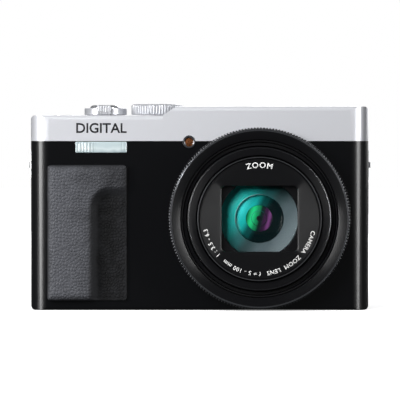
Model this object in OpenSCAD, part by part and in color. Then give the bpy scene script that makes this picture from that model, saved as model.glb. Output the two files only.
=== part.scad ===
// Compact travel-zoom camera with a telescoping lens, a flip-up screen and an eye-level viewfinder.
// +X is to the right seen from the front, -Y points at the subject and +Z is up, in millimetres.
// The origin is the middle of the tripod socket's mouth, on the base.

/* [Body] */
// Width between the two ends
body_w = 112; // [111:0.5:113]
// Depth without the lens, the grip and the eyepiece
body_d = 26; // [26:0.25:26.5]
// Height of the lower deck that carries the dials
deck_z = 64.4; // [64:0.1:64.8]
// Height of the raised part over the lens
hump_z = 67.3; // [67:0.1:67.6]
// Height where the silver top cover meets the black covers
parting_z = 55.9; // [55.8:0.1:56.2]
// Rounding of the front corners seen from above
end_r = 6.5; // [5.5:0.5:7]
// Thickness of the outer walls
wall = 1.2; // [1.1:0.05:1.25]

/* [Lens] */
// Distance of the optical axis from the tripod socket
lens_x = 19.6; // [19.4:0.1:19.8]
// Height of the optical axis
lens_z = 30.4; // [30.3:0.1:30.6]
// Outer radius of the control ring
ring_r = 30; // [29.6:0.1:30]
// Width of the window in the name ring
window_w = 24.8; // [24:0.2:25]
// Height of that window
window_h = 21.5; // [21:0.1:21.6]

/* [Controls] */
// Radius of the mode dial
mode_r = 8.6; // [8.2:0.1:8.6]
// Radius of the zoom lever
zoom_lever_r = 7.05; // [6.9:0.05:7.2]
// Outer radius of the rear control dial
dial_r = 10; // [9.5:0.1:10]

/* [Screen] */
// Width of the screen frame
screen_w = 73.2; // [72.6:0.2:73.2]
// Height of the screen frame
screen_h = 47.3; // [47:0.1:47.3]

/* [Power] */
// Battery width, height and thickness
battery_size = [27, 42, 10];
// Memory card width, height and thickness
card_size = [24, 32, 2.1];

/* [Hidden] */
$fn = 64;

black = "#17181b";
silver = "#c8cbd1";
dark_metal = "#2a2c31";
steel = "#9da1a8";
rubber = "#1d1e20";

// Body frame
half_w = body_w / 2;
half_d = body_d / 2;
back_r = 3.5;
edge_r = 1.5;
seam_y = 7.5;
rear_top_z = 61.5;
hump_foot_x = -12.2;
hump_head_x = -7.8;
gap = 0.2;

// Lens frame, where local z is the distance in front of the body's middle plane
ring_back = half_d + 0.15;
ring_front = half_d + 9.6;
fixed_r = 25.8;
fixed_bore = 25.2;
outer_r = 24.9;
outer_bore = 23.9;
middle_r = 23.6;
middle_bore = 22.3;
middle_lip = 20.8;
front_r = 20.4;
front_bore = 19.2;
plate_front = 23.8;
plate_back = 22.6;
holder_front = 21.6;
shield_bore = 19.75;
running = 0.08;
glass_r = 12.9;
glass_sphere = 25.5;
glass_apex = 21.2;

// Gear train of the zoom drive
gear_module = 0.5;
cam_teeth = 110;
idler_teeth = 24;
pinion_teeth = 10;
idler_angle = 140;
pinion_angle = 200;
cam_turn = 70;
cam_r = gear_module * cam_teeth / 2;
idler_r = gear_module * idler_teeth / 2;
pinion_r = gear_module * pinion_teeth / 2;
idler_at = [cos(idler_angle), sin(idler_angle)] * (cam_r + idler_r);
motor_at = idler_at + [cos(pinion_angle), sin(pinion_angle)] * (idler_r + pinion_r);

// Top controls
mode_at = [-14.2, 1];
mode_top = 68.2;
mode_well_r = mode_r + 0.5;
release_at = [-31.3, -2.4];
release_r = 5.2;
power_at = [-45.6, 4.2];
power_r = 3.3;
movie_at = [-26.2, 8.2];
movie_r = 2.4;

// Front details
grip = [-50.4, 3.1, -23.9, 48];
grip_step = [-36.4, 40.6];
grip_step_r = 6.6;
grip_high = 4.2;
grip_low = 0.9;
flash = [-41.1, 52, -24, 55.7];
lamp_at = [-3.5, 55.6];
lamp_r = 2.1;
lug = [43, 52.7];
lug_half = 3.6;

// Rear controls
dial_at = [-39.3, 19.5];
button_r = 2.4;
play_at = [-31, 37.6];
delete_at = [-47.6, 37.6];

// Screen and its hinge
screen_x = 14.5;
screen_bottom = 3.6;
screen_back = half_d + 1.2;
screen_front = screen_back - 3.4;
hinge_y = half_d - 0.4;
hinge_z = screen_bottom + screen_h + 1.9;
knuckle_r = 1.5;
pin_r = 0.7;
tray_y = 9.6;
tray = [screen_x - screen_w / 2 - 0.6, screen_bottom - 0.5,
        screen_x + screen_w / 2 + 0.6, hinge_z + 1.8];
hinge_plate_x = [-13, 22];

// Viewfinder
finder_at = [36.5, 60.5];
finder_size = [23, 10.6];
finder_end = 17;
diopter_at = [51.8, 10.6];
diopter_r = 3.4;
diopter_z = 58.6;

// Base
door = [-48.4, -11, -19.9, 4.7];
door_axis_z = 0.9;
battery_at = [-34, -5.8];
battery_foot = 1.95;
card_at = [-34, 2.45];
port_door = [-5.4, 22.2, 5.1, 40.8];
port_axis_x = -half_w + 0.7;
bush_r = 4;
socket_r = 2.6;
socket_depth = 5;

// ---- Shared shapes ----

// A rectangle whose lower and upper corners are rounded with true arcs
module soft_rect(x0, y0, x1, y1, low, high) {
    polygon([[x0 + low, y0], [x1 - low, y0], [x1, y0 + low], [x1, y1 - high],
             [x1 - high, y1], [x0 + high, y1], [x0, y1 - high], [x0, y0 + low]]);
    for (x = [x0 + low, x1 - low]) translate([x, y0 + low]) circle(low);
    for (x = [x0 + high, x1 - high]) translate([x, y1 - high]) circle(high);
}

// Extrudes an (x, z) outline from depth y0 to depth y1
module slab_y(y0, y1) {
    translate([0, y1, 0]) rotate([90, 0, 0]) linear_extrude(y1 - y0) children();
}

// Extrudes a (y, z) outline from x0 to x1
module slab_x(x0, x1) {
    translate([x0, 0, 0]) rotate([90, 0, 90]) linear_extrude(x1 - x0) children();
}

module slab_z(z0, z1) {
    translate([0, 0, z0]) linear_extrude(z1 - z0) children();
}

// A box between two corners
module box(low, high) {
    translate(low) cube(high - low);
}

// A round bar along Y, X or Z
module bar_y(x, z, r, y0, y1) {
    translate([x, y1, z]) rotate([90, 0, 0]) cylinder(r = r, h = y1 - y0);
}

module bar_x(y, z, r, x0, x1) {
    translate([x0, y, z]) rotate([0, 90, 0]) cylinder(r = r, h = x1 - x0);
}

module bar_z(at, r, z0, z1) {
    translate([at[0], at[1], z0]) cylinder(r = r, h = z1 - z0);
}

// The optical axis, with local z pointing at the subject
module on_axis() {
    translate([lens_x, 0, lens_z]) rotate([90, 0, 0]) children();
}

module ring(outer, bore, z0, z1) {
    translate([0, 0, z0]) difference() {
        cylinder(r = outer, h = z1 - z0);
        translate([0, 0, -1]) cylinder(r = bore, h = z1 - z0 + 2);
    }
}

// Involute gear outline: 4 points a flank, with backlash taken off the tooth
pressure = 20;
function inv(t) = t - atan(t) * PI / 180;
function tooth_half(n) = (90 / n) - 2.6 / n + inv(tan(pressure)) * 180 / PI;
function flank(n, k) =
    let (base = gear_module * n / 2 * cos(pressure),
         low = max(base, gear_module * (n / 2 - 1.2)),
         high = gear_module * (n / 2 + 0.9),
         r = low + (high - low) * k / 3,
         t = sqrt(max(0, pow(r / base, 2) - 1)))
    [r, tooth_half(n) - inv(t) * 180 / PI];
function tooth(n, at) =
    let (root = gear_module * (n / 2 - 1.25))
    concat([[root, at - flank(n, 0)[1] - 0.1]],
           [for (k = [0:3]) [flank(n, k)[0], at - flank(n, k)[1]]],
           [for (k = [3:-1:0]) [flank(n, k)[0], at + flank(n, k)[1]]],
           [[root, at + flank(n, 0)[1] + 0.1]]);

// Teeth numbered from first to last, with tooth 0 centred at the angle given
module gear_outline(n, start, first, last, inner = 0) {
    points = [for (i = [first:last]) each tooth(n, start + i * 360 / n)];
    rim = inner > 0
        ? [for (i = [last:-1:first]) [inner, start + i * 360 / n]]
        : [];
    polygon([for (p = concat(points, rim)) p[0] * [cos(p[1]), sin(p[1])]]);
}

// ---- Body envelope ----

module plan_outline(inset) {
    soft_rect(-half_w + inset, -half_d + inset, half_w - inset, half_d - inset,
              end_r - inset, back_r - inset);
}

module side_profile(inset, top) {
    soft_rect(-half_d + inset, inset, half_d - inset, top - inset,
              edge_r - inset, edge_r - inset);
}

// The outside of the covers, or their inside when inset by the wall
module envelope(inset) {
    intersection() {
        slab_z(inset, deck_z - inset) plan_outline(inset);
        slab_y(-half_d, half_d)
            soft_rect(-half_w + inset, inset, half_w - inset, deck_z - inset,
                      edge_r - inset, edge_r - inset);
        slab_x(-half_w, half_w) side_profile(inset, deck_z);
    }
    intersection() {
        slab_z(parting_z - 4, hump_z - inset) plan_outline(inset);
        slab_y(-half_d, half_d) hump_profile(inset);
        slab_x(hump_foot_x, half_w) side_profile(inset, hump_z);
    }
}

module hump_profile(inset) {
    right = half_w - inset;
    top = hump_z - inset;
    r = edge_r - inset;
    polygon([[hump_foot_x + inset, parting_z - 5], [hump_foot_x + inset, deck_z - inset],
             [hump_head_x + inset, top], [right - r, top], [right, top - r],
             [right, parting_z - 5]]);
    translate([right - r, top - r]) circle(r);
}

module shell() {
    difference() {
        envelope(0);
        envelope(wall);
    }
}

module lens_hole() {
    on_axis() cylinder(r = fixed_r + 0.05, h = half_d + 2);
}

module lamp_hole() {
    bar_y(lamp_at[0], lamp_at[1], lamp_r + 0.05, -half_d - 1, -half_d + wall + 1);
}

module finder_hole() {
    slab_y(seam_y - 3, half_d + 1) finder_outline(0.1);
}

module finder_outline(grow) {
    x = finder_size[0] / 2 + grow;
    z = finder_size[1] / 2 + grow;
    translate(finder_at) soft_rect(-x, -z, x, z, 2.4, 2.4);
}

// Screws: point on the outer face, then the direction into the body
screw_points = [
    [[12, -9.6, 0], [0, 0, 1]], [[44, -9.6, 0], [0, 0, 1]], [[44, 4.5, 0], [0, 0, 1]],
    [[half_w, 3.2, 9], [-1, 0, 0]], [[half_w, -3.2, 18], [-1, 0, 0]],
    [[-half_w, 3.2, 9], [1, 0, 0]], [[-half_w, -3.2, 15], [1, 0, 0]]
];
screw_head_r = 1.1;
screw_shank_r = 0.6;

module along(direction) {
    angle = direction[2] == 1 ? [0, 0, 0] : [0, 90 * direction[0], 0];
    rotate(angle) children();
}

module screw_pockets() {
    for (s = screw_points) translate(s[0]) along(s[1]) {
        translate([0, 0, -0.5]) cylinder(r = screw_head_r + 0.05, h = 1.2);
        cylinder(r = screw_shank_r, h = 3);
    }
}

// ---- Covers ----

module front_cover() {
    color(black) difference() {
        intersection() {
            shell();
            box([-half_w - 1, -half_d - 1, -1], [half_w + 1, seam_y, parting_z]);
        }
        lens_hole();
        lamp_hole();
        slab_y(-half_d - 1, -half_d + wall + 1)
            soft_rect(flash[0], flash[1], flash[2], parting_z + 2, 0.8, 0.8);
        box([door[0] - gap, door[1] - gap, -1], [door[2] + 1.3, door[3] + gap, wall + 1]);
        bar_y(door[2], door_axis_z, 0.4, door[1] - 1.2, door[3] + 1.2);
        bar_z([0, 0], bush_r + 0.05, -1, wall + 1);
        box([-half_w - 1, port_door[0] - gap, port_door[1] - gap],
            [-half_w + wall + 1, port_door[2] + 0.9, port_door[3] + gap]);
        bar_z([port_axis_x, port_door[2]], 0.35, port_door[1] - 1.2, port_door[3] + 1.2);
        for (x = [-half_w - 1, half_w - wall - 1])
            box([x, -lug_half - 0.05, lug[0]], [x + wall + 2, lug_half + 0.05, lug[1]]);
        slab_x(half_w - wall - 1, half_w + 1) soft_rect(-2.6, 31.5, 2.6, 42.2, 1, 1);
        screw_pockets();
    }
}

module top_cover() {
    color(silver) difference() {
        union() {
            intersection() {
                shell();
                union() {
                    box([-half_w - 1, -half_d - 1, parting_z], [half_w + 1, seam_y, 80]);
                    box([-half_w - 1, seam_y, rear_top_z], [half_w + 1, half_d + 1, 80]);
                }
            }
            intersection() {
                envelope(0);
                bar_z(mode_at, mode_well_r + 1, deck_z - wall, hump_z);
            }
        }
        bar_z(mode_at, mode_well_r, deck_z, hump_z + 1);
        bar_z(mode_at, 2.15, deck_z - 3, deck_z + 1);
        bar_z(release_at, 6.3, deck_z - 3, deck_z + 1);
        bar_z(power_at, power_r + 0.12, deck_z - 3, deck_z + 1);
        bar_z(movie_at, movie_r + 0.12, deck_z - 3, deck_z + 1);
        for (side = [-1, 1], k = [-1:1])
            bar_z([11 + side * 4.5, -3 + k * 1.3], 0.35, hump_z - 3, hump_z + 1);
        lens_hole();
        lamp_hole();
        finder_hole();
    }
}

module rear_cover() {
    color(black) difference() {
        union() {
            intersection() {
                shell();
                box([-half_w - 1, seam_y, -1], [half_w + 1, half_d + 1, rear_top_z]);
            }
            intersection() {
                envelope(0);
                union() {
                    box([tray[0] - 1, tray_y - 1, tray[1] - 1],
                        [tray[2] + 1, half_d, tray[3] + 0.5]);
                    bar_y(dial_at[0], dial_at[1], dial_r + 1.2, half_d - 2.6, half_d);
                }
            }
        }
        box([tray[0], tray_y, tray[1]], [tray[2], half_d + 2, tray[3]]);
        bar_y(dial_at[0], dial_at[1], dial_r + 0.2, half_d - 1.6, half_d + 1);
        bar_y(dial_at[0], dial_at[1], 5, half_d - 4, half_d + 1);
        for (at = [play_at, delete_at])
            bar_y(at[0], at[1], button_r + 0.12, half_d - 3, half_d + 1);
        finder_hole();
        box([diopter_at[0] - diopter_r - 0.2, seam_y - 1, diopter_z - 0.2],
            [diopter_at[0] + diopter_r + 0.2, half_d + 1, diopter_z + 2.6]);
    }
}

// ---- Grip and thumb rest ----

// The finger side is an L, high along the body's end and along the top, with a round inner corner
module grip_ridge_outline() {
    difference() {
        soft_rect(grip[0], grip[1], grip[2], grip[3], 1.6, 1.6);
        translate([grip_step[0] + grip_step_r, grip[1] - 5])
            square([20, grip_step[1] - grip[1] + 5]);
        translate([grip_step[0], grip[1] - 5])
            square([20, grip_step[1] - grip[1] + 5 - grip_step_r]);
        translate([grip_step[0] + grip_step_r, grip_step[1] - grip_step_r])
            circle(grip_step_r);
    }
}

module grip_pad() {
    color(rubber) {
        slab_y(-half_d - grip_low, -half_d)
            soft_rect(grip[0], grip[1], grip[2], grip[3], 1.6, 1.6);
        slab_y(-half_d - grip_high, -half_d - grip_low) grip_ridge_outline();
    }
}

module thumb_pad() {
    color(rubber) slab_y(half_d, half_d + 0.8)
        soft_rect(-51.6, 43.2, -32, 58.4, 2.4, 2.4);
}

// ---- Flash, lamp, lugs ----

module flash_window() {
    color("#dfe8ea") slab_y(-half_d - 0.1, -half_d + wall)
        soft_rect(flash[0], flash[1], flash[2], flash[3], 0.8, 0.5);
}

// A bright trough with the tube lying in it
module flash_unit() {
    color(steel) difference() {
        box([flash[0] + 0.6, -half_d + wall, flash[1] + 0.4],
            [flash[2] - 0.6, -half_d + 6.4, flash[3] - 0.3]);
        box([flash[0] + 1, -half_d + wall - 1, flash[1] + 0.7],
            [flash[2] - 1, -half_d + 5.8, flash[3] - 0.6]);
    }
    color("white") bar_x(-half_d + 4.6, (flash[1] + flash[3]) / 2, 0.8,
                         flash[0] + 1, flash[2] - 1);
}

module flash_capacitor() {
    color("#23252c") bar_x(-4.6, 49.2, 3.3, -44, -20);
}

// The amber lamp lens in its bright bezel
module af_lamp() {
    color("#a5501e") bar_y(lamp_at[0], lamp_at[1], lamp_r - 0.6, -half_d - 0.05, -half_d + 3);
    color(steel) difference() {
        bar_y(lamp_at[0], lamp_at[1], lamp_r, -half_d - 0.3, -half_d + 2.5);
        bar_y(lamp_at[0], lamp_at[1], lamp_r - 0.6, -half_d - 1, -half_d + 3);
    }
}

// A cast pocket at each end of the body with a bar across it for the cord
module strap_lugs() {
    color(steel) for (side = [-1, 1]) {
        mirror([side < 0 ? 1 : 0, 0, 0]) {
            difference() {
                box([half_w - 3.4, -lug_half, lug[0]], [half_w + 0.25, lug_half, lug[1]]);
                box([half_w - 2.4, -lug_half + 0.9, lug[0] + 1],
                    [half_w + 1, lug_half - 0.9, lug[1] - 1]);
            }
            box([half_w - 0.6, -lug_half + 0.4, 47], [half_w + 0.9, lug_half - 0.4, 48.9]);
        }
    }
}

// ---- Base ----

module tripod_bush() {
    color(steel) difference() {
        union() {
            bar_z([0, 0], bush_r, 0, socket_depth + 0.9);
            bar_z([0, 0], bush_r + 1.2, wall + 0.05, wall + 1.2);
        }
        bar_z([0, 0], socket_r, -1, socket_depth);
    }
}

module battery_holder() {
    w = battery_size[0] / 2;
    t = battery_size[2] / 2;
    top = battery_size[1] + 3;
    color(dark_metal) difference() {
        box([battery_at[0] - w - 1, battery_at[1] - t - 0.9, 2],
            [battery_at[0] + w + 1, card_at[1] + 2.1, top]);
        box([battery_at[0] - w - 0.2, battery_at[1] - t - 0.15, 1],
            [battery_at[0] + w + 0.2, battery_at[1] + t + 0.15, top - 0.9]);
        box([card_at[0] - card_size[0] / 2 - 0.2, card_at[1] - card_size[2] / 2 - 0.2, 1],
            [card_at[0] + card_size[0] / 2 + 0.2, card_at[1] + card_size[2] / 2 + 0.2,
             card_size[1] + 3]);
    }
}

module battery() {
    w = battery_size[0] / 2;
    t = battery_size[2] / 2;
    color("#30333a") slab_z(battery_foot, battery_foot + battery_size[1])
        soft_rect(battery_at[0] - w, battery_at[1] - t, battery_at[0] + w, battery_at[1] + t,
                  1.5, 1.5);
}

module memory_card() {
    w = card_size[0] / 2;
    corner = 3.2;
    color("#22304a") slab_y(card_at[1] - card_size[2] / 2, card_at[1] + card_size[2] / 2)
        translate([card_at[0], 2.4]) polygon([
            [-w, 0], [w, 0], [w, card_size[1] - corner], [w - corner, card_size[1]],
            [-w, card_size[1]]]);
}

module battery_door() {
    color(black) difference() {
        union() {
            box([door[0], door[1], 0], [door[2], door[3], 1.25]);
            bar_y(door[2], door_axis_z, door_axis_z, door[1], door[3]);
        }
        bar_y(door[2], door_axis_z, 0.45, door[1] - 1, door[3] + 1);
        slab_z(-1, 0.75) soft_rect(-45.5, -5.2, -34.5, -0.8, 1, 1);
    }
}

// The slider that locks the door; it lies in the door's outer face
module door_lock() {
    color(dark_metal) {
        slab_z(0.1, 0.7) soft_rect(-45.3, -5, -37.8, -1, 0.9, 0.9);
    }
}

module connector_door() {
    color(black) difference() {
        union() {
            box([-half_w - 0.05, port_door[0], port_door[1]],
                [-half_w + 1.1, port_door[2], port_door[3]]);
            bar_z([port_axis_x, port_door[2]], 0.7, port_door[1], port_door[3]);
        }
        bar_z([port_axis_x, port_door[2]], 0.4, port_door[1] - 1, port_door[3] + 1);
    }
}

// A micro HDMI socket over a micro USB socket, each a folded shell with its tongue
module connector_sockets() {
    inner = -half_w + 1.4;
    for (s = [[34.4, 6.4, 2.8], [26.6, 6.9, 1.9]]) color(steel) {
        difference() {
            box([inner, -s[1] / 2 - 0.4, s[0] - s[2] / 2 - 0.4],
                [inner + 5.6, s[1] / 2 + 0.4, s[0] + s[2] / 2 + 0.4]);
            box([inner - 1, -s[1] / 2, s[0] - s[2] / 2],
                [inner + 5, s[1] / 2, s[0] + s[2] / 2]);
        }
        box([inner + 1, -s[1] / 2 + 0.8, s[0] - 0.3], [inner + 5.2, s[1] / 2 - 0.8, s[0] + 0.3]);
    }
}

module speaker_grille() {
    color(black) difference() {
        slab_x(half_w - wall, half_w + 0.25) soft_rect(-2.6, 31.5, 2.6, 42.2, 1, 1);
        for (k = [0:4]) slab_x(half_w - 2, half_w + 1)
            translate([0, 33.2 + k * 1.8]) soft_rect(-1.6, -0.35, 1.6, 0.35, 0.3, 0.3);
    }
}

module body_screws() {
    color(steel) for (s = screw_points) translate(s[0]) along(s[1]) difference() {
        union() {
            translate([0, 0, 0.05]) cylinder(r = screw_head_r, h = 0.65);
            cylinder(r = screw_shank_r, h = 2.9);
        }
        translate([0, 0, -0.5]) for (turn = [0, 90]) rotate(turn)
            translate([-0.75, -0.15, 0]) cube([1.5, 0.3, 0.9]);
    }
}

// The pins of the screen, the battery door and the connector door
module hinge_pins() {
    color(steel) {
        bar_x(hinge_y, hinge_z, pin_r, hinge_plate_x[0] - 4.2, hinge_plate_x[1] + 4.2);
        bar_y(door[2], door_axis_z, 0.4, door[1] - 1.2, door[3] + 1.2);
        bar_z([port_axis_x, port_door[2]], 0.35, port_door[1] - 1.2, port_door[3] + 1.2);
    }
}

module main_board() {
    color("#1f4a33") difference() {
        box([-53, 4.9, 3], [-20.5, 5.9, 60]);
        bar_y(-50.5, 57, 1.1, 0, 10);
        bar_y(-50.5, 6, 1.1, 0, 10);
    }
    color(black) for (chip = [[-44, 44, 11, 11], [-31, 47, 8, 9], [-46, 14, 9, 7],
                              [-30, 24, 7, 12], [-44, 30, 6, 6]])
        box([chip[0] - chip[2] / 2, 5.9, chip[1] - chip[3] / 2],
            [chip[0] + chip[2] / 2, 7, chip[1] + chip[3] / 2]);
}

// ---- Lens ----

module image_sensor() {
    color("#3a3350") on_axis() {
        translate([-7, -5.5, -8.3]) cube([14, 11, 1.4]);
        translate([-4.2, -3.4, -6.9]) cube([8.4, 6.8, 0.5]);
    }
}

// The rear wall of the lens unit, with the gearbox arm and the axle of the idler
module lens_base() {
    color(black) on_axis() difference() {
        union() {
            translate([0, 0, -8.3]) cylinder(r = fixed_r, h = 2);
            translate([0, 0, -8.3]) linear_extrude(1.4) {
                rotate(idler_angle) translate([20, -5]) square([16, 10]);
                translate(idler_at) circle(6);
                translate(motor_at) circle(5);
            }
            translate([idler_at[0], idler_at[1], -7]) cylinder(r = 0.8, h = 10);
            ring(12.4, 11, -6.4, -4.4);
        }
        translate([-7.1, -5.6, -9]) cube([14.2, 11.2, 5]);
    }
}

module fixed_barrel() {
    color(black) on_axis() {
        difference() {
            ring(fixed_r, fixed_bore, -6.3, 21.8);
            for (turn = [30, 150, 270]) rotate(turn)
                translate([20, -1, 2]) cube([8, 2, 9]);
        }
    }
}

module zoom_motor() {
    color(steel) on_axis() translate([motor_at[0], motor_at[1], 0]) {
        difference() {
            translate([0, 0, 3.2]) cylinder(r = 4, h = 7.8);
            for (side = [-1, 1]) translate([side * 5.6, 0, 7]) cube([4, 12, 12], center = true);
            cylinder(r = 0.55, h = 8);
        }
    }
}

// The pinion on its shaft
module motor_pinion() {
    color("#e6e2d2") on_axis() translate([motor_at[0], motor_at[1], -1.2]) {
        linear_extrude(3.6)
            gear_outline(pinion_teeth, pinion_angle + 180 + 180 / pinion_teeth, 0, pinion_teeth - 1);
        translate([0, 0, -0.6]) cylinder(r = 0.5, h = 9);
    }
}

module idler_gear() {
    color("#e6e2d2") on_axis() translate([idler_at[0], idler_at[1], -0.8]) difference() {
        linear_extrude(2.4) gear_outline(idler_teeth, idler_angle + 180, 0, idler_teeth - 1);
        translate([0, 0, -1]) cylinder(r = 0.85, h = 5);
    }
}

// The driven ring around the fixed barrel; its toothed sector meets the idler over the whole turn
module cam_ring() {
    pitch = 360 / cam_teeth;
    first = -ceil((cam_turn + 9) / pitch);
    last = ceil(9 / pitch);
    color("#3b3d42") on_axis() {
        ring(26.85, fixed_r + running, -5.6, 10.4);
        translate([0, 0, -0.6]) linear_extrude(2)
            gear_outline(cam_teeth, idler_angle + pitch / 2, first, last, 26.4);
    }
}

module barrel_outer() {
    color(black) on_axis() {
        ring(outer_r, outer_bore, 1.2, 20.9);
        ring(fixed_bore - 0.1, outer_bore, 1.2, 3.4);
    }
}

module barrel_middle() {
    color(black) on_axis() {
        ring(middle_r, middle_bore, 1.2, 23);
        ring(middle_r, middle_lip, 21, 23);
    }
}

// The front tube carries the cell of the front lens
module barrel_front() {
    color(black) on_axis() difference() {
        union() {
            ring(front_r, front_bore, 2.4, holder_front);
            ring(front_r, shield_bore, holder_front - 0.1, plate_front + 0.4);
            ring(front_bore + 0.1, glass_r, 12.6, holder_front);
        }
        translate([0, 0, 14.5]) cylinder(r = 14.1, h = 3.5);
        for (side = [-1, 1]) translate([side * 16.5, 0, 12]) cylinder(r = 1.4, h = 7);
    }
}

// The black plate with the window that frames the front lens
module name_ring() {
    color(black) on_axis() translate([0, 0, plate_back]) difference() {
        cylinder(r = shield_bore - 0.05, h = plate_front - plate_back);
        translate([0, 0, -1]) linear_extrude(4)
            soft_rect(-window_w / 2, -window_h / 2, window_w / 2, window_h / 2, 1.6, 1.6);
    }
}

module front_lens() {
    color("#2a6f72") on_axis() intersection() {
        translate([0, 0, glass_apex - glass_sphere]) sphere(r = glass_sphere);
        union() {
            translate([0, 0, 14.55]) cylinder(r = 14.05, h = 3.4);
            translate([0, 0, 14.55]) cylinder(r = glass_r - 0.05, h = 8);
        }
    }
}

// A barrier blade is the cap of the tube's circle above the window; two on each side, one behind the other
module barrier_blade(side, layer) {
    r = shield_bore - 0.15;
    color(dark_metal) on_axis() translate([0, 0, plate_back - 0.5 - layer * 0.38])
        intersection() {
            cylinder(r = r, h = 0.3);
            translate([-20, side > 0 ? window_h / 2 + 0.15 : -window_h / 2 - 20.15, -1])
                cube([40, 20, 3]);
        }
}

module zoom_lens_cell() {
    color(black) on_axis() {
        ring(13, 8.2, 3.2, 9.6);
        ring(16.5, 12.9, 3.2, 4.6);
    }
}

module zoom_lens() {
    color("#1f5a4c") on_axis() intersection() {
        translate([0, 0, 9.4 - 14]) sphere(r = 14);
        translate([0, 0, 5]) cylinder(r = 8.1, h = 5);
    }
}

module focus_lens_cell() {
    color(black) on_axis() ring(9.4, 5.6, -5, -2.4);
    color("#2c4f66") on_axis() translate([0, 0, -4.8]) cylinder(r = 5.6, h = 2.2);
}

// The ring that turns around the barrel for settings
module control_ring() {
    color(dark_metal) on_axis() rotate_extrude() polygon([
        [fixed_r + running, ring_back], [ring_r - 0.3, ring_back], [ring_r, ring_back + 0.3],
        [ring_r, ring_front - 0.9], [ring_r - 0.6, ring_front - 0.3],
        [ring_r - 1.1, ring_front], [ring_r - 3.6, ring_front - 0.35],
        [fixed_r + running, ring_front - 1.6]
    ]);
}

// ---- Top controls ----

module shutter_button() {
    color(silver) {
        bar_z(release_at, release_r, deck_z + 1.6, deck_z + 2.9);
        bar_z(release_at, release_r - 0.6, deck_z + 2.8, deck_z + 3.4);
        bar_z(release_at, 1.5, deck_z - 4, deck_z + 1.7);
    }
}

module zoom_lever() {
    color(silver) difference() {
        union() {
            bar_z(release_at, zoom_lever_r, deck_z + 0.15, deck_z + 2.4);
            bar_z(release_at, 6.2, deck_z - 2.6, deck_z + 0.3);
            box([release_at[0] - 2.6, release_at[1] - zoom_lever_r - 1.6, deck_z + 0.15],
                [release_at[0] + 1.7, release_at[1] - zoom_lever_r + 1.4, deck_z + 3.4]);
        }
        bar_z(release_at, release_r + 0.2, deck_z - 4, deck_z + 5);
    }
}

module power_button() {
    color(silver) {
        bar_z(power_at, power_r, deck_z - 1.6, deck_z + 0.15);
        bar_z(power_at, power_r + 0.6, deck_z - 2.6, deck_z - 1.6);
    }
}

module movie_button() {
    color(silver) {
        bar_z(movie_at, movie_r, deck_z - 1.6, deck_z + 0.15);
        bar_z(movie_at, movie_r + 0.6, deck_z - 2.6, deck_z - 1.6);
    }
}

module mode_dial() {
    color(silver) {
        bar_z(mode_at, mode_r, deck_z + 0.15, mode_top - 0.3);
        bar_z(mode_at, mode_r - 0.4, mode_top - 0.4, mode_top);
        bar_z(mode_at, 2, deck_z - 5, deck_z + 0.3);
    }
}

// ---- Viewfinder ----

module eyecup() {
    tunnel = [28, 57.7, 45, 65.2];
    color(rubber) difference() {
        union() {
            slab_y(9.8, finder_end) finder_outline(0);
            box([tunnel[0], -6, tunnel[1]], [tunnel[2], 9.9, tunnel[3]]);
        }
        slab_y(finder_end - 1.4, finder_end + 1) translate(finder_at)
            soft_rect(-8.6, -3.6, 8.6, 3.6, 1.2, 1.2);
        slab_y(-5, finder_end) translate([finder_at[0], 61.4])
            soft_rect(-7.4, -2.9, 7.4, 2.9, 0.8, 0.8);
    }
}

module eyepiece_lens() {
    color("#20262c") slab_y(finder_end - 2.6, finder_end - 1.5)
        translate([finder_at[0], 61.4]) soft_rect(-7.3, -2.8, 7.3, 2.8, 0.7, 0.7);
}

module finder_display() {
    color("#20262c") box([finder_at[0] - 6, -5, 58.6], [finder_at[0] + 6, -3.9, 64.2]);
}

module diopter_dial() {
    color(black) {
        bar_z(diopter_at, diopter_r, diopter_z, diopter_z + 2.4);
        bar_z(diopter_at, 0.9, diopter_z - 1.4, diopter_z + 3.2);
    }
}

// ---- Screen ----

// Two feet on the floor of the screen's tray that hold the hinge pin
module screen_brackets() {
    color(steel) for (x = [hinge_plate_x[0] - 4.2, hinge_plate_x[1] + 0.2]) difference() {
        union() {
            bar_x(hinge_y, hinge_z, knuckle_r, x, x + 4);
            box([x, tray_y, hinge_z - 1.4], [x + 4, hinge_y, hinge_z + 1.4]);
        }
        bar_x(hinge_y, hinge_z, pin_r, x - 1, x + 5);
    }
}

// The plate swings on the pin; its two rails guide the screen as it runs out
module screen_hinge_plate() {
    color(steel) difference() {
        union() {
            box([hinge_plate_x[0], tray_y + 0.2, 12], [hinge_plate_x[1], tray_y + 1, hinge_z - 1.2]);
            for (x = [hinge_plate_x[0], hinge_plate_x[1] - 8]) {
                box([x, tray_y + 0.2, hinge_z - 1.8], [x + 8, hinge_y - 0.6, hinge_z]);
                bar_x(hinge_y, hinge_z, knuckle_r, x, x + 8);
            }
            for (x = [-8, 15])
                box([x, tray_y + 0.9, 14], [x + 2, tray_y + 1.9, 46]);
        }
        bar_x(hinge_y, hinge_z, pin_r + 0.05, hinge_plate_x[0] - 1, hinge_plate_x[1] + 1);
    }
}

module screen_frame() {
    left = screen_x - screen_w / 2;
    right = screen_x + screen_w / 2;
    top = screen_bottom + screen_h;
    color(black) difference() {
        slab_y(screen_front, screen_back) soft_rect(left, screen_bottom, right, top, 2, 2);
        box([left + 1.3, screen_back - 0.75, screen_bottom + 1.2],
            [right - 1.3, screen_back + 1, top - 1.2]);
        box([screen_x - 32, screen_front + 1.2, screen_bottom + 2.2],
            [screen_x + 32, screen_back, screen_bottom + 45.1]);
        for (x = [-8, 15])
            box([x - 0.2, screen_front - 1, 13.5], [x + 2.2, screen_front + 0.9, top + 1]);
    }
}

module screen_panel() {
    color("#101215") box([screen_x - 31.8, screen_front + 1.3, screen_bottom + 2.4],
                         [screen_x + 31.8, screen_back - 0.85, screen_bottom + 44.9]);
}

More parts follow.
